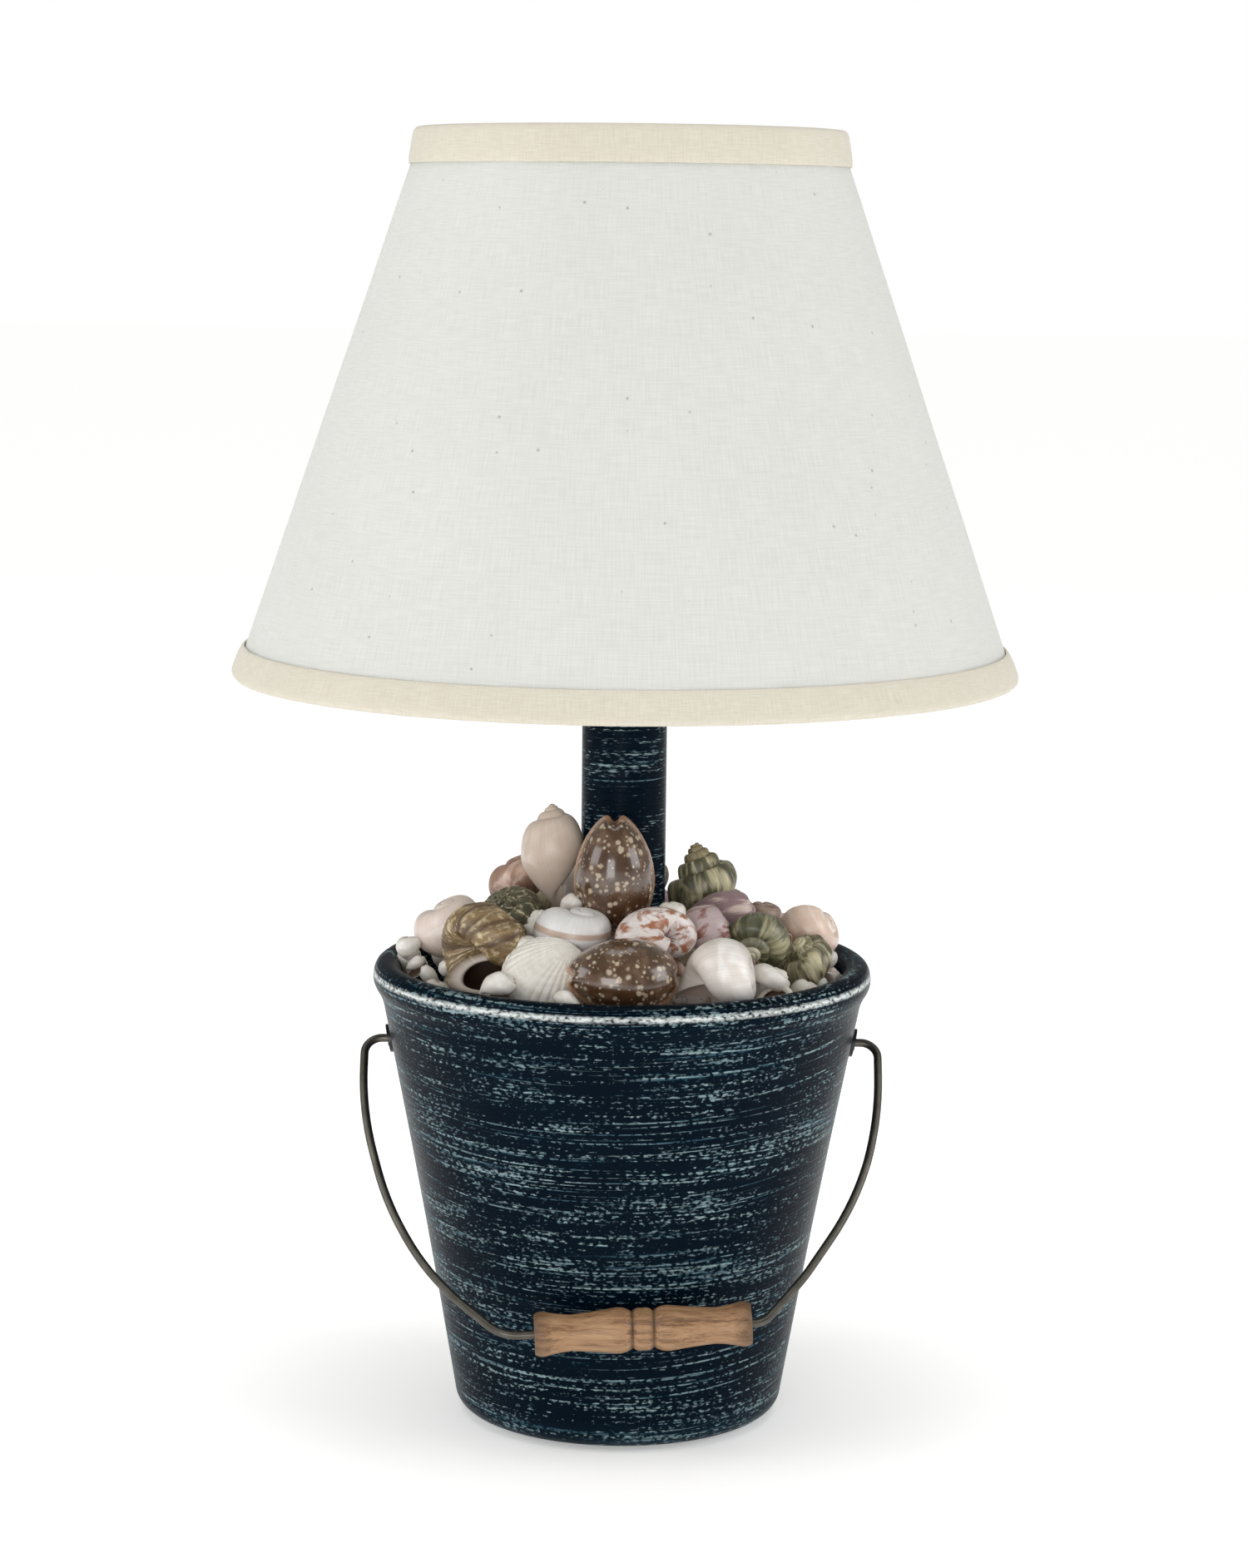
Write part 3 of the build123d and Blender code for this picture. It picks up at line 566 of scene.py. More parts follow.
def coilShell(form, sculpt=(), sides=28):
    bm = bmesh.new()
    along = bm.verts.layers.float.new("along")
    around = bm.verts.layers.float.new("around")
    inside = bm.verts.layers.float.new("inside")
    ring = bmesh.ops.create_circle(bm, segments=sides, radius=1)["verts"]
    for vert in ring:
        angle = atan2(vert.co.y, vert.co.x)
        vert[around] = angle / tau
        below = max(0.0, -sin(angle))
        swell = 1 + form["shoulder"] * exp(-((angle - 0.95) / 0.4) ** 2)
        out = form["reach"] + form["wide"] * cos(angle) * swell * (1 - form["taper"] * below ** 1.5)
        out -= form["reach"] * form["taper"] * 0.55 * below
        vert.co = (out, 0, -form["drop"] + form["tall"] * sin(angle) * swell)
    steps = int(form["turns"] * perTurn)
    growth = form["grow"] ** (1 / perTurn)
    forward = Matrix.Rotation(-tau / perTurn, 4, "Z") @ Matrix.Scale(growth, 4)
    start = Matrix.Rotation(tau * steps / perTurn, 4, "Z") @ Matrix.Scale(growth ** -steps, 4)
    bmesh.ops.transform(bm, matrix=start, verts=ring)
    for vert in ring:
        vert[along] = -steps / perTurn
    edges = bm.edges[:]
    bmesh.ops.contextual_create(bm, geom=edges)

    def nextRing(edges, matrix, turn, within):
        made = bmesh.ops.extrude_edge_only(bm, edges=edges)["geom"]
        verts = [item for item in made if isinstance(item, bmesh.types.BMVert)]
        fresh = set(verts)
        ends = [item for item in made if isinstance(item, bmesh.types.BMEdge)
                and item.verts[0] in fresh and item.verts[1] in fresh]
        bmesh.ops.transform(bm, matrix=matrix, verts=verts)
        for vert in verts:
            vert[along] = turn
            vert[inside] = within
        return ends, verts

    for step in range(steps):
        edges, last = nextRing(edges, forward, (step + 1 - steps) / perTurn, 0.0)
    # the lip turns in, and the tube's inner wall runs back up the coil
    centre = sum((vert.co for vert in last), Vector()) / len(last)
    narrow = Matrix.Translation(centre) @ Matrix.Scale(form["lip"], 4) @ Matrix.Translation(-centre)
    edges, last = nextRing(edges, Matrix.Translation((0, 0.01, 0)) @ narrow, 0.0, 0.6)
    for step in range(perTurn // 2):
        edges, last = nextRing(edges, forward.inverted(), 0.0, 1.0 + step / perTurn)
    bmesh.ops.contextual_create(bm, geom=edges)
    bmesh.ops.recalc_face_normals(bm, faces=bm.faces[:])
    bm.normal_update()
    for vert in bm.verts:
        if sculpt and vert[inside] < 0.5:
            size = form["grow"] ** vert[along]
            vert.co += vert.normal * size * sum(detail(vert[along], vert[around]) for detail in sculpt)
    return bm


def knobs(count, place, width, height):
    # one row of knobs at a place round the tube
    return lambda turn, side: (height * exp(-((side - place) / width) ** 2)
                               * max(0.0, cos(tau * count * turn)) ** 1.5)


def cords(count, height):
    # raised cords that run with the coil
    return lambda turn, side: height * (0.5 + 0.5 * cos(tau * count * side))


def ribs(count, height):
    # growth ribs across the coil
    return lambda turn, side: height * (0.5 + 0.5 * cos(tau * count * turn)) ** 2


def placeShell(bm, turn, low, high, swell, wide=(1, 1, 1), move=(0, 0, 0)):
    # spin about its own axis, lean it sideways, tip it forward and face it round, then fit it to its space
    own, lean, tip, face = (radians(angle) for angle in turn)
    spin = (Matrix.Rotation(face, 4, "Z") @ Matrix.Rotation(tip, 4, "X") @ Matrix.Rotation(lean, 4, "Y")
            @ Matrix.Rotation(own, 4, "Z"))
    bmesh.ops.transform(bm, matrix=spin, verts=bm.verts)
    least = Vector([min(vert.co[i] for vert in bm.verts) for i in range(3)])
    most = Vector([max(vert.co[i] for vert in bm.verts) for i in range(3)])
    shares = [(high[i] - low[i]) / (most[i] - least[i]) for i in range(3)]
    even = (shares[0] * shares[1] * shares[2]) ** (1 / 3)
    factor = [swell * wide[i] * (0.4 * even + 0.6 * shares[i]) for i in range(3)]
    middle = (least + most) / 2
    goal = (low + high) / 2 + Vector(move) * mm
    for vert in bm.verts:
        vert.co = [goal[i] + (vert.co[i] - middle[i]) * factor[i] for i in range(3)]


def grownShell(name, look):
    # grown lime shell: ground colour with marks drawn along or across the coil, fine growth lines,
    # a paler mouth with painted shade deeper inside the tube, and a soft natural gloss
    look = dict({"rough": 0.38, "coat": 0.25, "seed": 0.0, "bend": 0.5, "edge": 0.06, "growth": 0.25,
                 "relief": 0.5, "lines": look["marks"], "apex": look["tint"], "apexShare": 0.0,
                 "lineCount": 90, "deep": look["mouth"], "band": (0.0, 0.01, 0.0)}, **look)
    material, tree, shader = newMaterial(name, Roughness=look["rough"], Coat_Weight=look["coat"],
                                         Coat_Roughness=0.2)
    along, around, within = (addNode(tree, "Attribute", out="Fac", attribute_name=key)
                             for key in ("along", "around", "inside"))
    place = addNode(tree, "TexCoord", out="Object")
    turns = addNode(tree, "Math", {0: along, 1: look["flames"]}, operation="MULTIPLY")
    girth = addNode(tree, "Math", {0: around, 1: look["bands"]}, operation="MULTIPLY")
    drawn = addNode(tree, "CombineXYZ", {0: turns, 1: girth, 2: look["seed"]})
    marks = addNode(tree, "TexNoise", {"Vector": drawn, "Scale": 1.0, "Detail": 3.0, "Roughness": 0.6,
                                       "Distortion": look["bend"]})
    mask = addNode(tree, "MapRange", {"Value": marks, "From Min": look["cover"] - look["edge"],
                                      "From Max": look["cover"] + look["edge"]})
    cloudy = addNode(tree, "TexNoise", {"Vector": place, "Scale": 1 / (6 * mm), "Detail": 4.0})
    lineTurns = addNode(tree, "Math", {0: along, 1: look["lineCount"]}, operation="MULTIPLY")
    lineGirth = addNode(tree, "Math", {0: around, 1: 2.0}, operation="MULTIPLY")
    linePlace = addNode(tree, "CombineXYZ", {0: lineTurns, 1: lineGirth})
    lines = addNode(tree, "TexNoise", {"Vector": linePlace, "Scale": 1.0, "Detail": 2.0})
    lineShare = addNode(tree, "MapRange", {"Value": lines, "From Min": 0.38, "From Max": 0.64,
                                           "To Max": look["growth"]})
    apexShare = addNode(tree, "MapRange", {"Value": along, "From Min": -1.3, "From Max": -2.4,
                                           "To Max": look["apexShare"]})
    # painted shade: further into the tube the inner wall takes the deep colour
    innerShadeShare = addNode(tree, "MapRange", {"Value": within, "From Min": 0.95, "From Max": 1.12})
    centre, width, strength = look["band"]
    offset = addNode(tree, "Math", {0: around, 1: centre}, operation="SUBTRACT")
    near = addNode(tree, "Math", {0: offset}, operation="ABSOLUTE")
    bandShare = addNode(tree, "MapRange", {"Value": near, "From Min": width, "From Max": width * 0.6,
                                           "To Max": strength})
    colour = addNode(tree, "Mix", {0: cloudy, 6: linear(look["ground"]), 7: linear(look["tint"])},
                     out=2, data_type="RGBA")
    for share, hexColour in ((mask, look["marks"]), (bandShare, look["marks"]), (lineShare, look["lines"]),
                             (apexShare, look["apex"]), (within, look["mouth"]), (innerShadeShare, look["deep"])):
        colour = addNode(tree, "Mix", {0: share, 6: colour, 7: linear(hexColour)}, out=2, data_type="RGBA")
    tree.links.new(colour, shader.inputs["Base Color"])
    height = addNode(tree, "Math", {0: cloudy, 1: 0.6, 2: lines}, operation="MULTIPLY_ADD")
    bump = addNode(tree, "Bump", {"Height": height, "Distance": 0.2 * mm, "Strength": look["relief"]})
    tree.links.new(bump, shader.inputs["Normal"])
    return material


# a shell's deep colour is painted shade far inside its mouth
shellLooks = {
    "fig": {"ground": "#C6B1A3", "tint": "#DACABB", "marks": "#E6DACF", "mouth": "#E9DCD4",
            "flames": 3, "bands": 3, "cover": 0.64, "growth": 0.15, "lines": "#A08E80"},
    "brownSnail": {"ground": "#7E5845", "tint": "#A5806B", "marks": "#DEC0B0", "mouth": "#E4CFC2",
                   "flames": 7, "bands": 4, "cover": 0.58},
    "beaded": {"ground": "#4B4838", "tint": "#6A6549", "marks": "#D2C9A6", "mouth": "#E8E2D2",
               "flames": 32, "bands": 14, "cover": 0.58, "growth": 0.6, "lines": "#262418",
               "lineCount": 32, "rough": 0.55, "coat": 0.1, "relief": 0.8},
    "olive": {"ground": "#A18358", "tint": "#716043", "marks": "#D6C49E", "mouth": "#F6EEE6",
              "deep": "#4A382C", "flames": 30, "bands": 12, "cover": 0.55, "rough": 0.5, "coat": 0.15,
              "growth": 0.9,
              "lines": "#4A3222", "lineCount": 26, "relief": 0.8},
    "spire": {"ground": "#67664C", "tint": "#4D4B38", "marks": "#CBC29E", "mouth": "#E4DECB",
              "flames": 15, "bands": 2.5, "cover": 0.51, "apex": "#8A7A55", "apexShare": 0.7, "rough": 0.5,
              "coat": 0.15, "growth": 0.5, "lines": "#33301F", "lineCount": 34},
    "striped": {"ground": "#515541", "tint": "#69694B", "marks": "#B9B38E", "mouth": "#EAE4D4",
                "flames": 13, "bands": 2, "cover": 0.56, "apex": "#E2D9C0", "apexShare": 0.8, "growth": 0.6,
                "lines": "#24261A", "lineCount": 34, "seed": 3.0},
    "knobbed": {"ground": "#726D4B", "tint": "#55523A", "marks": "#D8CEAA", "mouth": "#EAE4D4",
                "flames": 9, "bands": 2.5, "cover": 0.52, "apex": "#D5CCAA", "apexShare": 0.8, "growth": 0.6,
                "lines": "#2B2919", "lineCount": 30, "seed": 7.0, "rough": 0.5},
    "pinkMoon": {"ground": "#E3CFC4", "tint": "#F0E3D9", "marks": "#F6EFE8", "mouth": "#F3EAE4",
                 "flames": 2, "bands": 5, "cover": 0.58, "growth": 0.15, "lines": "#B99D94"},
    "peach": {"ground": "#E8CAB6", "tint": "#F1DCCC", "marks": "#F7EEE5", "mouth": "#D88F68",
              "flames": 1.5, "bands": 6, "cover": 0.55, "growth": 0.15, "lines": "#C08D7C", "rough": 0.3},
    "whiteMoon": {"ground": "#F1EAE3", "tint": "#E3D9D0", "marks": "#FAF7F3", "mouth": "#F3E3D9",
                  "deep": "#D2AD98",
                  "flames": 2, "bands": 4, "cover": 0.58, "growth": 0.2, "lines": "#A8948F", "rough": 0.3},
    "white": {"ground": "#F3F0E8", "tint": "#E6E0D5", "marks": "#FAF8F3", "mouth": "#F0E4DA",
              "deep": "#A98A76", "flames": 3, "bands": 4, "cover": 0.58, "growth": 0.2, "lines": "#B3A796"},
    "banded": {"ground": "#DAD8D8", "tint": "#F0EEEC", "marks": "#B89B86", "mouth": "#F1E9E3",
               "flames": 1.2, "bands": 10, "cover": 0.9, "growth": 0.12, "lines": "#A5A0A6", "bend": 0.2,
               "band": (0.035, 0.026, 0.85)},
    "blotched": {"ground": "#F2EAE3", "tint": "#DCD3D6", "marks": "#A3694A", "mouth": "#E9CDBB",
                 "flames": 11, "bands": 8, "cover": 0.54, "edge": 0.06, "growth": 0.12, "lines": "#B58F85",
                 "band": (0.12, 0.022, 0.7), "rough": 0.3},
    "mauve": {"ground": "#B59DA1", "tint": "#D3C2C2", "marks": "#8A5546", "mouth": "#DCC6BE",
              "flames": 10, "bands": 5, "cover": 0.54, "growth": 0.15, "lines": "#5D4046", "seed": 5.0},
    "purple": {"ground": "#8C6D70", "tint": "#AA9095", "marks": "#DFCABE", "mouth": "#DCC6BE",
               "flames": 14, "bands": 4, "cover": 0.57, "growth": 0.2, "lines": "#46323A", "seed": 9.0},
    "brownStripe": {"ground": "#A08474", "tint": "#C9B5A6", "marks": "#6E5143", "mouth": "#E4CFC2",
                    "flames": 1.5, "bands": 9, "cover": 0.55, "growth": 0.2},
}
shellFinishes = {name: grownShell(name + "Shell", look) for name, look in shellLooks.items()}

beads = (knobs(16, 0.04, 0.03, 0.22), knobs(16, 0.13, 0.028, 0.22), knobs(16, 0.22, 0.026, 0.2),
         knobs(16, 0.31, 0.024, 0.18), knobs(16, 0.4, 0.024, 0.16), knobs(16, -0.06, 0.03, 0.2))
# node, form, look, turn in degrees (own axis, lean, tip and face), scale each side, and raised detail
coiledShells = [
    ("fig_shell", "fig", "fig", (95, -6, -4, 0), (1.14, 1, 1.04), ()),
    ("brown_snail", "moon", "brownSnail", (200, -20, 0, 0), (1.05, 1, 1.05), ()),
    ("beaded_turban", "turban", "beaded", (150, -40, 20, 20), (1.1, 1, 1.12), beads),
    ("olive_turban", "openTurban", "olive", (-24, 66, -26, 8), (1.08, 1.05, 1.08),
     (cords(9, 0.035), knobs(26, 0.14, 0.06, 0.05), ribs(34, 0.022))),
    ("pink_moon", "moon", "pinkMoon", (170, -25, 5, 0), (1.06, 1, 1.06), ()),
    ("banded_bonnet", "moon", "banded", (170, 10, 6, 0), (1.08, 1, 1.02), ()),
    ("white_drupe", "turban", "white", (160, -30, 0, 0), (1.15, 1.1, 1.1),
     (knobs(7, 0.05, 0.08, 0.3), knobs(7, 0.2, 0.06, 0.2))),
    ("blotched_olive", "hollowMoon", "blotched", (110, -15, -114, 0), (1.04, 1, 1.1), ()),
    ("mauve_cowrie", "bonnet", "mauve", (180, 72, -8, 12), (1, 1, 1), ()),
    ("purple_cowrie", "olive", "purple", (180, 82, 0, 10), (1.08, 1, 1), ()),
    ("spire_turban", "spire", "spire", (80, -15, -4, 0), (1.08, 1, 1.05),
     (knobs(9, 0.1, 0.1, 0.13), cords(6, 0.02))),
    ("cream_snail", "moon", "brownStripe", (190, 15, 0, 0), (1, 1, 1), ()),
    ("peach_moon", "moon", "peach", (180, 62, 28, 0), (1, 1, 1), ()),
    ("striped_turban", "turban", "striped", (250, -8, 118, 0), (1.05, 1, 1.06), (cords(8, 0.02),)),
    ("knobbed_turban", "turban", "knobbed", (150, -28, 18, 0), (1.06, 1, 1.08),
     (knobs(9, 0.14, 0.07, 0.24), knobs(9, -0.05, 0.06, 0.16), cords(6, 0.03))),
    ("grey_snail", "moon", "white", (90, 0, 0, 0), (1, 1, 1), ()),
    ("white_moon", "moon", "whiteMoon", (10, 80, 44, 0), (1.06, 1, 1.1), ()),
]


def makeCoiled():
    for node, form, look, turn, wide, sculpt in coiledShells:
        low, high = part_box(node)
        bm = coilShell(shellForms[form], sculpt)
        placeShell(bm, turn, low, high, shellSwell, wide)
        addPiece(bm, "coil_" + node, [shellFinishes[look]], "base", [node], levels=1)


makeCoiled()
print("coiled shells made")


# cowries

cowrieLook = {"brown": "#5E412B", "dark": "#382413", "grey": "#7D6450", "spot": "#CBBBA3",
              "margin": "#BE9377", "base": "#E9DCD0", "spotGap": 4.3, "cloud": 7}


def cowrieEnamel(look):
    # thick natural enamel: mottled brown with a scatter of cream spots, paler and pinker at the margins
    material, tree, shader = newMaterial("cowrieEnamel", Roughness=0.24, Coat_Weight=0.8, Coat_Roughness=0.08)
    place = addNode(tree, "TexCoord", out="Object")
    height = addNode(tree, "Attribute", out="Fac", attribute_name="height")
    cloudy = addNode(tree, "TexNoise", {"Vector": place, "Scale": 1 / (look["cloud"] * mm), "Detail": 4.0})
    colour = addNode(tree, "Mix", {0: cloudy, 6: linear(look["dark"]), 7: linear(look["brown"])},
                     out=2, data_type="RGBA")
    worn = addNode(tree, "MapRange", {"Value": cloudy, "From Min": 0.5, "From Max": 0.68, "To Max": 0.55})
    colour = addNode(tree, "Mix", {0: worn, 6: colour, 7: linear(look["grey"])}, out=2, data_type="RGBA")
    warped = addNode(tree, "TexNoise", {"Vector": place, "Scale": 1 / (3 * mm)}, out=1)
    shifted = addNode(tree, "VectorMath", {0: warped, 1: (1.2 * mm,) * 3, 2: place}, operation="MULTIPLY_ADD")
    for gap, least in ((look["spotGap"], 0.15), (look["spotGap"] * 0.62, 0.07)):
        spots = addNode(tree, "TexVoronoi", {"Vector": shifted, "Scale": 1 / (gap * mm)}, out=None)
        draw = addNode(tree, "SeparateColor", {0: spots.outputs["Color"]})
        reach = addNode(tree, "Math", {0: draw, 1: 0.22, 2: least}, operation="MULTIPLY_ADD")
        depth = addNode(tree, "Math", {0: reach, 1: spots.outputs["Distance"]}, operation="SUBTRACT")
        share = addNode(tree, "MapRange", {
            "Value": depth, "From Min": -0.07, "From Max": 0.09, "To Max": 0.78})
        colour = addNode(tree, "Mix", {0: share, 6: colour, 7: linear(look["spot"])}, out=2, data_type="RGBA")
    tips = addNode(tree, "Attribute", out="Fac", attribute_name="tips")
    rim = addNode(tree, "MapRange", {"Value": height, "From Min": 0.3, "From Max": 0.06})
    under = addNode(tree, "MapRange", {"Value": height, "From Min": -0.05, "From Max": -0.2})
    for share, hexColour in ((rim, look["margin"]), (tips, look["margin"]), (under, look["base"])):
        colour = addNode(tree, "Mix", {0: share, 6: colour, 7: linear(hexColour)}, out=2, data_type="RGBA")
    tree.links.new(colour, shader.inputs["Base Color"])
    bump = addNode(tree, "Bump", {"Height": cloudy, "Distance": 0.25 * mm, "Strength": 0.4})
    tree.links.new(bump, shader.inputs["Normal"])
    return material


def cowrieShell():
    # egg with a flat base, a toothed slit along it and a notch at each end; long along X, back up +Z
    bm = bmesh.new()
    height = bm.verts.layers.float.new("height")
    tips = bm.verts.layers.float.new("tips")
    bmesh.ops.create_uvsphere(bm, u_segments=64, v_segments=40, radius=1)
    bmesh.ops.rotate(bm, verts=bm.verts, matrix=Matrix.Rotation(radians(90), 3, "Y"), cent=(0, 0, 0))
    for vert in bm.verts:
        x, y, z = vert.co
        vert[height] = z
        vert[tips] = max(0.0, min(1.0, (abs(x) - 0.9) / 0.08)) * (1.0 if x > 0 else 0.35)
        width = 1 - 0.14 * x - 0.08 * x * x
        flat = z if z > 0 else 0.42 * z
        notch = exp(-(y / 0.15) ** 2)
        reach = x - 0.16 * notch * max(0.0, x) ** 10 + 0.06 * notch * max(0.0, -x) ** 10
        callus = 0.05 * exp(-((z + 0.05) / 0.22) ** 2)
        slit = 0.0
        if z < 0:
            slit = 0.2 * exp(-((y - 0.06) / 0.07) ** 2) * (1 - x * x) * (1 + 0.25 * cos(x * 48))
        vert.co = (1.5 * reach * (1 + 0.4 * callus), y * width * (1 + callus), 0.86 * flat + slit)
    bmesh.ops.recalc_face_normals(bm, faces=bm.faces[:])
    return bm


def makeCowries():
    enamel = cowrieEnamel(cowrieLook)
    # the long axis is X, so lean -90 stands one up with its notch at the top and its back to the front
    for node, turn in (("cowrie_upright", (180, 90, 0, -90)), ("cowrie_front", (180, 0, 62, 5))):
        low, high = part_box(node)
        bm = cowrieShell()
        placeShell(bm, turn, low, high, 1.03)
        addPiece(bm, "enamel_" + node, [enamel], "base", [node], levels=1)


makeCowries()
print("cowries made")


# ribbed cockle

cockleLook = {"ribs": 24, "ribHeight": 0.03, "rows": 44, "dome": 0.62, "wall": 1.3, "open": 80,
              "turn": (0, 42, -38, -6), "wide": (1.42, 1.15, 1.3), "move": (1.5, 2.0, 1.5)}


def makeCockle(look):
    # a grid is fanned out from the hinge, domed, and raised into ribs that spread from the beak
    low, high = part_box("cockle")
    bm = bmesh.new()
    for key in ("along", "around", "inside"):
        bm.verts.layers.float.new(key)
    along = bm.verts.layers.float["along"]
    around = bm.verts.layers.float["around"]
    bmesh.ops.create_grid(bm, x_segments=look["ribs"] * 6, y_segments=look["rows"], size=1)
    for vert in bm.verts:
        side = vert.co.x
        spread = (vert.co.y + 1) / 2
        vert[around] = side * 2
        vert[along] = -spread * 0.2
        sweep = side * radians(look["open"])
        far = 0.01 + 1.99 * spread * cos(sweep) ** 0.8
        x = far * sin(sweep)
        z = -far * cos(sweep)
        off = min(1.0, hypot(x, z + 1.0))
        dome = look["dome"] * (1 - off ** 2.4) ** 0.5 * (1.1 - 0.2 * spread)
        rib = look["ribHeight"] * (0.25 + spread) * abs(cos(side * look["ribs"] * pi / 2)) ** 0.7
        step = 0.004 * cos(spread * 70)
        vert.co = (x, -dome - rib - step, z)
    bmesh.ops.remove_doubles(bm, verts=bm.verts, dist=0.004)
    placeShell(bm, look["turn"], low, high, 1.0, look["wide"], look["move"])
    bmesh.ops.recalc_face_normals(bm, faces=bm.faces[:])
    piece = addPiece(bm, "cockleFan", [shellFinishes["white"]], "base", ["cockle"])
    wall = piece.modifiers.new("wall", "SOLIDIFY")
    wall.thickness = look["wall"] * mm
    wall.offset = -1.0


makeCockle(cockleLook)
print("cockle made")


# groups of small and hidden shells

whiteGroup = [
    ((-55, -76, 214), (8.5, 7, 8), "bonnet", "white", (10, 52, 0, 10)),
    ((-24, -92, 211), (7, 5.5, 6), "moon", "white", (0, 60, 10, 0)),
    ((67, -58, 213.5), (11, 9, 9.5), "openTurban", "white", (-30, 50, -20, 0)),
    ((-99, -10, 220), (5.6, 5.6, 5.8), "moon", "white", (120, 0, 0, 0)),
    ((-95, -14, 212), (4.8, 4.8, 4.8), "olive", "white", (0, 40, 0, 0)),
    ((-87, -25, 210), (5.4, 5.2, 5.2), "olive", "white", (90, -50, 0, 0)),
    ((-84, -40, 205), (7, 6, 6), "moon", "white", (150, 20, 0, 0)),
    ((-75, -52, 205), (6.5, 6, 6), "bonnet", "white", (30, 70, 0, 30)),
    ((-68, -64, 205), (6, 6, 6), "moon", "pinkMoon", (10, 30, 0, 0)),
    ((-96, -26, 204), (5.5, 5.5, 6), "turban", "white", (20, 0, 20, 0)),
    ((-100, 6, 211), (5, 6, 6), "moon", "white", (200, 0, 0, 0)),
    ((-79, -29, 215), (5, 5, 5), "moon", "white", (60, -20, 0, 0)),
    ((84, -42, 208), (7, 6, 6), "moon", "white", (190, 30, 0, 0)),
    ((94, -24, 208), (6, 6, 6), "bonnet", "white", (20, -60, 0, 20)),
    ((98, -8, 207), (5.5, 6, 6), "turban", "pinkMoon", (0, 10, 0, 0)),
    ((75, -55, 206), (6, 5.5, 5.5), "olive", "brownStripe", (90, 75, 0, -35)),
    ((54, -45, 221), (6, 6, 6.5), "turban", "mauve", (30, 10, 20, 0)),
    ((-44, -55, 229), (6, 6, 6), "moon", "white", (160, 10, 0, 0)),
    ((72, -12, 226), (6.5, 6.5, 6.5), "moon", "peach", (40, 30, 0, 0)),
    ((22, -42, 243), (6, 6, 6), "moon", "white", (200, 10, 0, 0)),
    ((-22, -31, 243), (6.5, 6, 7), "bonnet", "whiteMoon", (0, 40, 0, 0)),
]
backGroup = [
    ((72, 45, 216), (14, 12, 12), "moon", "whiteMoon", (20, 20, -60, 160)),
    ((51, 67, 215), (13, 12, 12), "turban", "olive", (0, 40, -20, 150)),
    ((23, 81, 215), (13.5, 12, 12), "moon", "peach", (0, 70, 20, 180)),
    ((-7, 84, 215), (13.5, 12, 12), "bonnet", "banded", (0, 75, 0, 180)),
    ((-36, 76, 215), (13.5, 12, 12), "turban", "striped", (0, 10, 100, 190)),
    ((-61, 57, 216), (14, 12, 12.5), "moon", "pinkMoon", (0, 60, 0, 210)),
    ((-78, 29, 217), (13, 13, 12.5), "moon", "white", (0, 30, 0, 240)),
    ((46, 40, 229), (12, 10.5, 10.5), "moon", "brownStripe", (0, 40, 0, 150)),
    ((17, 55, 229), (14, 11.5, 11.5), "olive", "purple", (0, 80, 0, 170)),
    ((-14, 55, 230), (14, 12, 12), "bonnet", "mauve", (0, -70, 0, 185)),
    ((-43, 44, 229), (13.5, 11.5, 12), "turban", "knobbed", (0, -30, 20, 200)),
    ((9, 34, 244), (12, 10.5, 12), "turban", "beaded", (0, 20, -10, 170)),
    ((-19, 33, 243), (12, 11, 12), "moon", "whiteMoon", (0, -30, 10, 190)),
]


def makeGroup(name, group, node):
    looks = sorted({look for _, _, _, look, _ in group})
    joined = bmesh.new()
    for place, half, form, look, turn in group:
        low = Vector([(place[i] - half[i]) * mm for i in range(3)])
        high = Vector([(place[i] + half[i]) * mm for i in range(3)])
        bm = coilShell(shellForms[form], (), 20)
        placeShell(bm, turn, low, high, shellSwell)
        for face in bm.faces:
            face.material_index = looks.index(look)
        mesh = bpy.data.meshes.new("part")
        bm.to_mesh(mesh)
        bm.free()
        joined.from_mesh(mesh)
        bpy.data.meshes.remove(mesh)
    return addPiece(joined, name, [shellFinishes[look] for look in looks], "base", [node])


makeGroup("coils_small_white", whiteGroup, "small_white_shells")
makeGroup("coils_back", backGroup, "back_shells")
print("shell groups made")


# bed of the heap and the grit between the shells

bedLook = {"sand": "#B7A993", "shade": "#8D7F6B", "grain": 0.9, "slope": 0.55, "foot": 190.0, "wall": 98.0,
           "radius": 96.5, "inner": 21.0, "rise": 2.6, "lump": 13.0, "around": 120, "rows": 24, "thick": 7.0}
chipLook = {"count": 620, "least": 1.4, "most": 4.0, "near": 24, "spread": 73, "seed": 11}


def setSand(look):
    # shell sand set in resin: pale and dark grains over a rough warm ground
    material, tree, shader = newMaterial("shellSand", Roughness=0.9)
    place = addNode(tree, "TexCoord", out="Object")
    grains = addNode(tree, "TexVoronoi", {"Vector": place, "Scale": 1 / (look["grain"] * mm)}, out=None)
    draw = addNode(tree, "SeparateColor", {0: grains.outputs["Color"]})
    colour = addNode(tree, "Mix", {0: draw, 6: linear(look["shade"]), 7: linear(look["sand"])},
                     out=2, data_type="RGBA")
    tree.links.new(colour, shader.inputs["Base Color"])
    bump = addNode(tree, "Bump", {
        "Height": grains.outputs["Distance"], "Distance": 0.5 * mm, "Strength": 0.9})
    tree.links.new(bump, shader.inputs["Normal"])
    return material


def bedHeight(x, y, look):
    # height of the heap's bed at a place, in metres
    lump = look["lump"] * mm
    wave = noise.noise(Vector((x / lump, y / lump, 3.7))) * look["rise"] * mm
    return look["foot"] * mm + look["slope"] * (look["wall"] * mm - hypot(x, y)) + wave


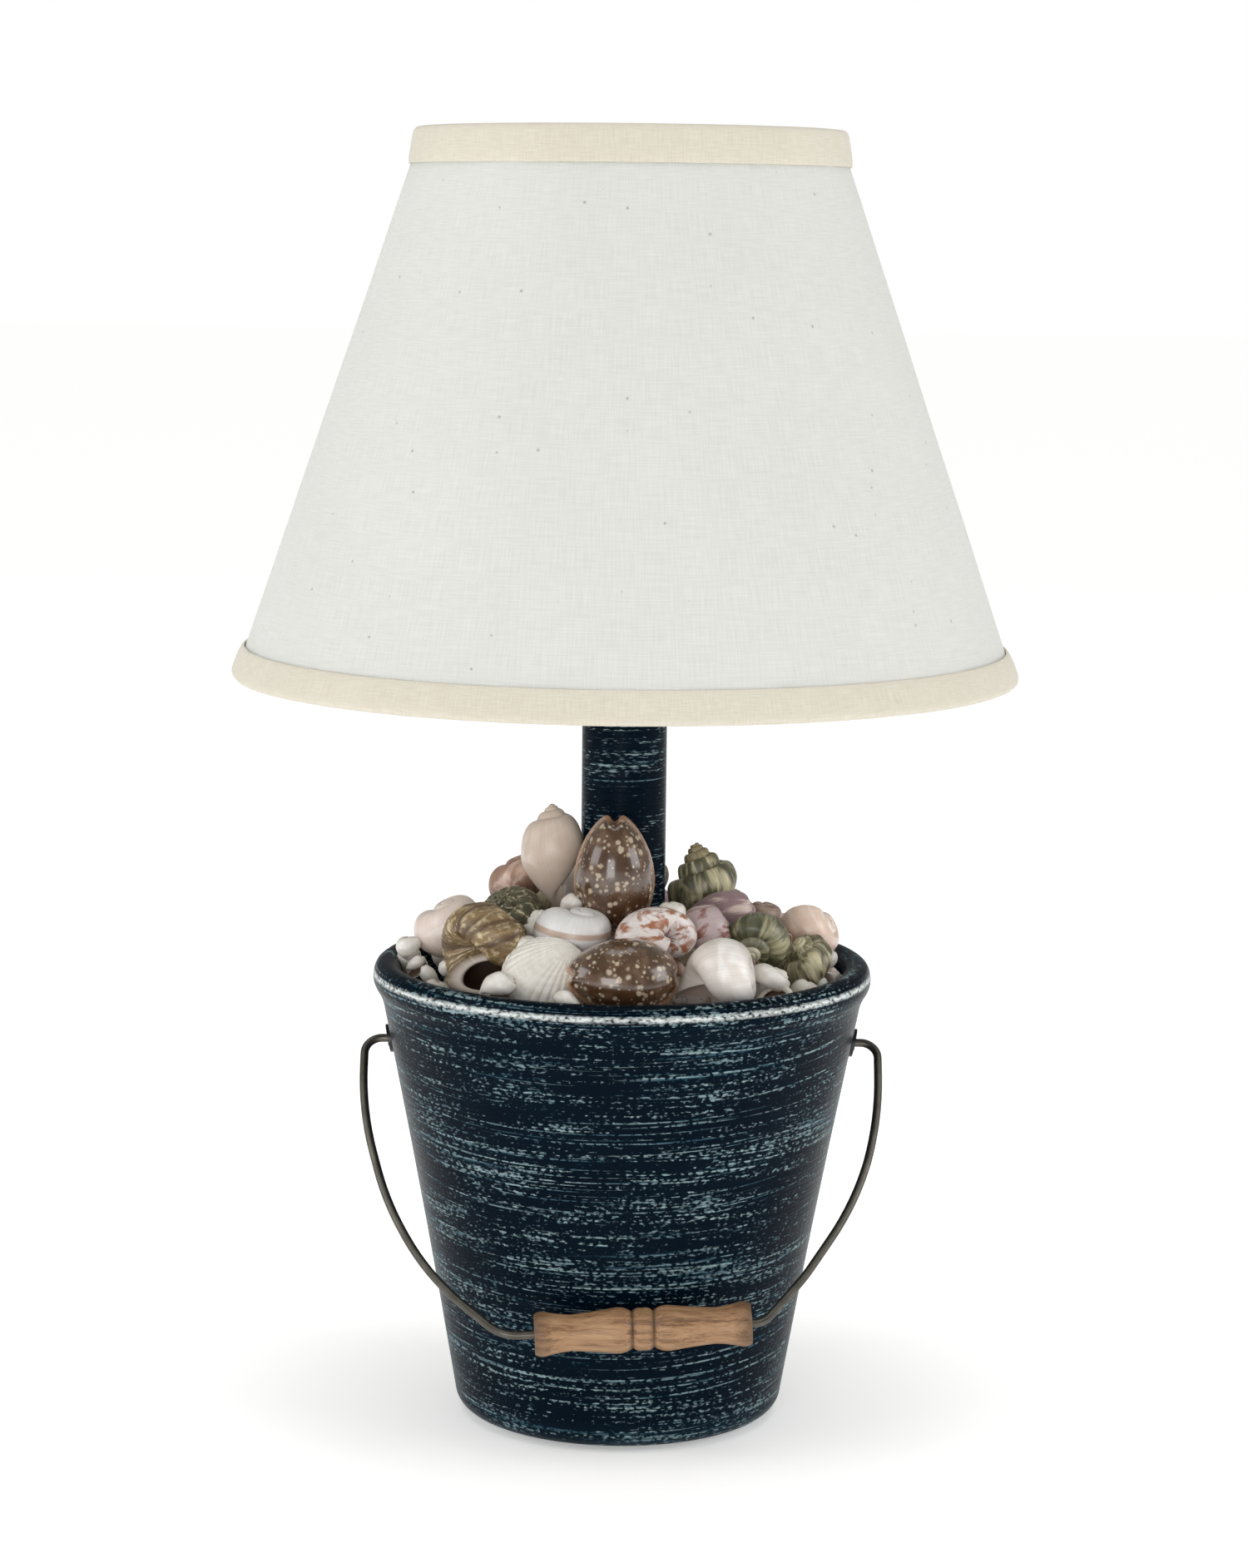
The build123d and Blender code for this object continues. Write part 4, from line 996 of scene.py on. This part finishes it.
def makeBed(look):
    rows = look["rows"]
    inner, outer = look["inner"] * mm, look["radius"] * mm
    reach = [outer + (inner - outer) * k / rows for k in range(rows + 1)]
    top = [(r, look["foot"] * mm + look["slope"] * (look["wall"] * mm - r)) for r in reach]
    under = [(r, z - look["thick"] * mm) for r, z in reversed(top)]
    bm = turnedRing(top + under, look["around"])
    for vert in bm.verts:
        flat = look["foot"] * mm + look["slope"] * (look["wall"] * mm - hypot(vert.co.x, vert.co.y))
        if vert.co.z > flat - 0.1 * mm:
            vert.co.z = bedHeight(vert.co.x, vert.co.y, look) - 0.5 * mm
    return addPiece(bm, "shellBed", [setSand(look)], "base", ["filler_mound"])


def makeChips(look, bed):
    # broken shell and beads scattered where no shell lies
    rng = random.Random(look["seed"])
    spaces = [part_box(row[0]) for row in coiledShells]
    spaces += [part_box(node) for node in ("cowrie_upright", "cowrie_front", "cockle")]
    for place, half, form, finish, turn in whiteGroup + backGroup:
        centre = Vector(place) * mm
        spaces.append((centre - Vector(half) * mm, centre + Vector(half) * mm))
    joined = bmesh.new()
    for _ in range(look["count"]):
        angle = rng.uniform(0, tau)
        away = (look["near"] + look["spread"] * rng.random() ** 0.5) * mm
        size = rng.uniform(look["least"], look["most"]) * mm
        stretch = (rng.uniform(0.7, 1.4), rng.uniform(0.7, 1.4), rng.uniform(0.4, 0.9))
        turn = (rng.uniform(0, tau), rng.uniform(0, tau), rng.uniform(0, tau))
        kind = rng.choice((0, 0, 0, 1, 2))
        spot = Vector((away * cos(angle), away * sin(angle), 0))
        spot.z = bedHeight(spot.x, spot.y, bed) + size * 0.35
        blocked = False
        for low, high in spaces:
            half = (high - low) / 2
            gap = spot - (low + high) / 2
            blocked = blocked or sum((gap[i] / (half[i] + size * 0.5)) ** 2 for i in range(3)) < 1
        if blocked:
            continue
        made = bmesh.ops.create_uvsphere(joined, u_segments=8, v_segments=5, radius=size)["verts"]
        shape = (Matrix.Translation(spot) @ Matrix.Rotation(turn[2], 4, "Z")
                 @ Matrix.Rotation(turn[1], 4, "Y") @ Matrix.Rotation(turn[0], 4, "X")
                 @ Matrix.Diagonal((*stretch, 1)))
        bmesh.ops.transform(joined, matrix=shape, verts=made)
        for face in {face for vert in made for face in vert.link_faces}:
            face.material_index = kind
    finishes = [stockMoulding("chipWhite", "#EFEBE3", "#D8D1C4", 0.5, 1.2),
                stockMoulding("chipPink", "#D9BBAC", "#C5A292", 0.5, 1.2),
                stockMoulding("chipBrown", "#8C6B55", "#6A5141", 0.5, 1.2)]
    addPiece(joined, "shellChips", finishes, "base")


makeBed(bedLook)
makeChips(chipLook, bedLook)
print("bed and chips made")


# felt under the bucket

feltLook = {"round": 0.5}


def makeFelt(look, finish):
    # cut felt disc with soft edges, glued under the bucket
    low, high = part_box("base_felt")
    edge = high.x
    soft = look["round"] * mm
    outline = [(0.4 * mm, high.z), (edge - soft, high.z), (edge - 0.15 * soft, high.z - 0.4 * soft),
               (edge, (low.z + high.z) / 2), (edge - 0.15 * soft, low.z + 0.4 * soft), (edge - soft, low.z),
               (0.4 * mm, low.z)]
    bm = turnedRing(outline, 96)
    pad = addPiece(bm, "feltPad", [finish], "base", ["base_felt"])
    return pad, edge


pad, padEdge = makeFelt(feltLook, feltFinish)
print("felt made")
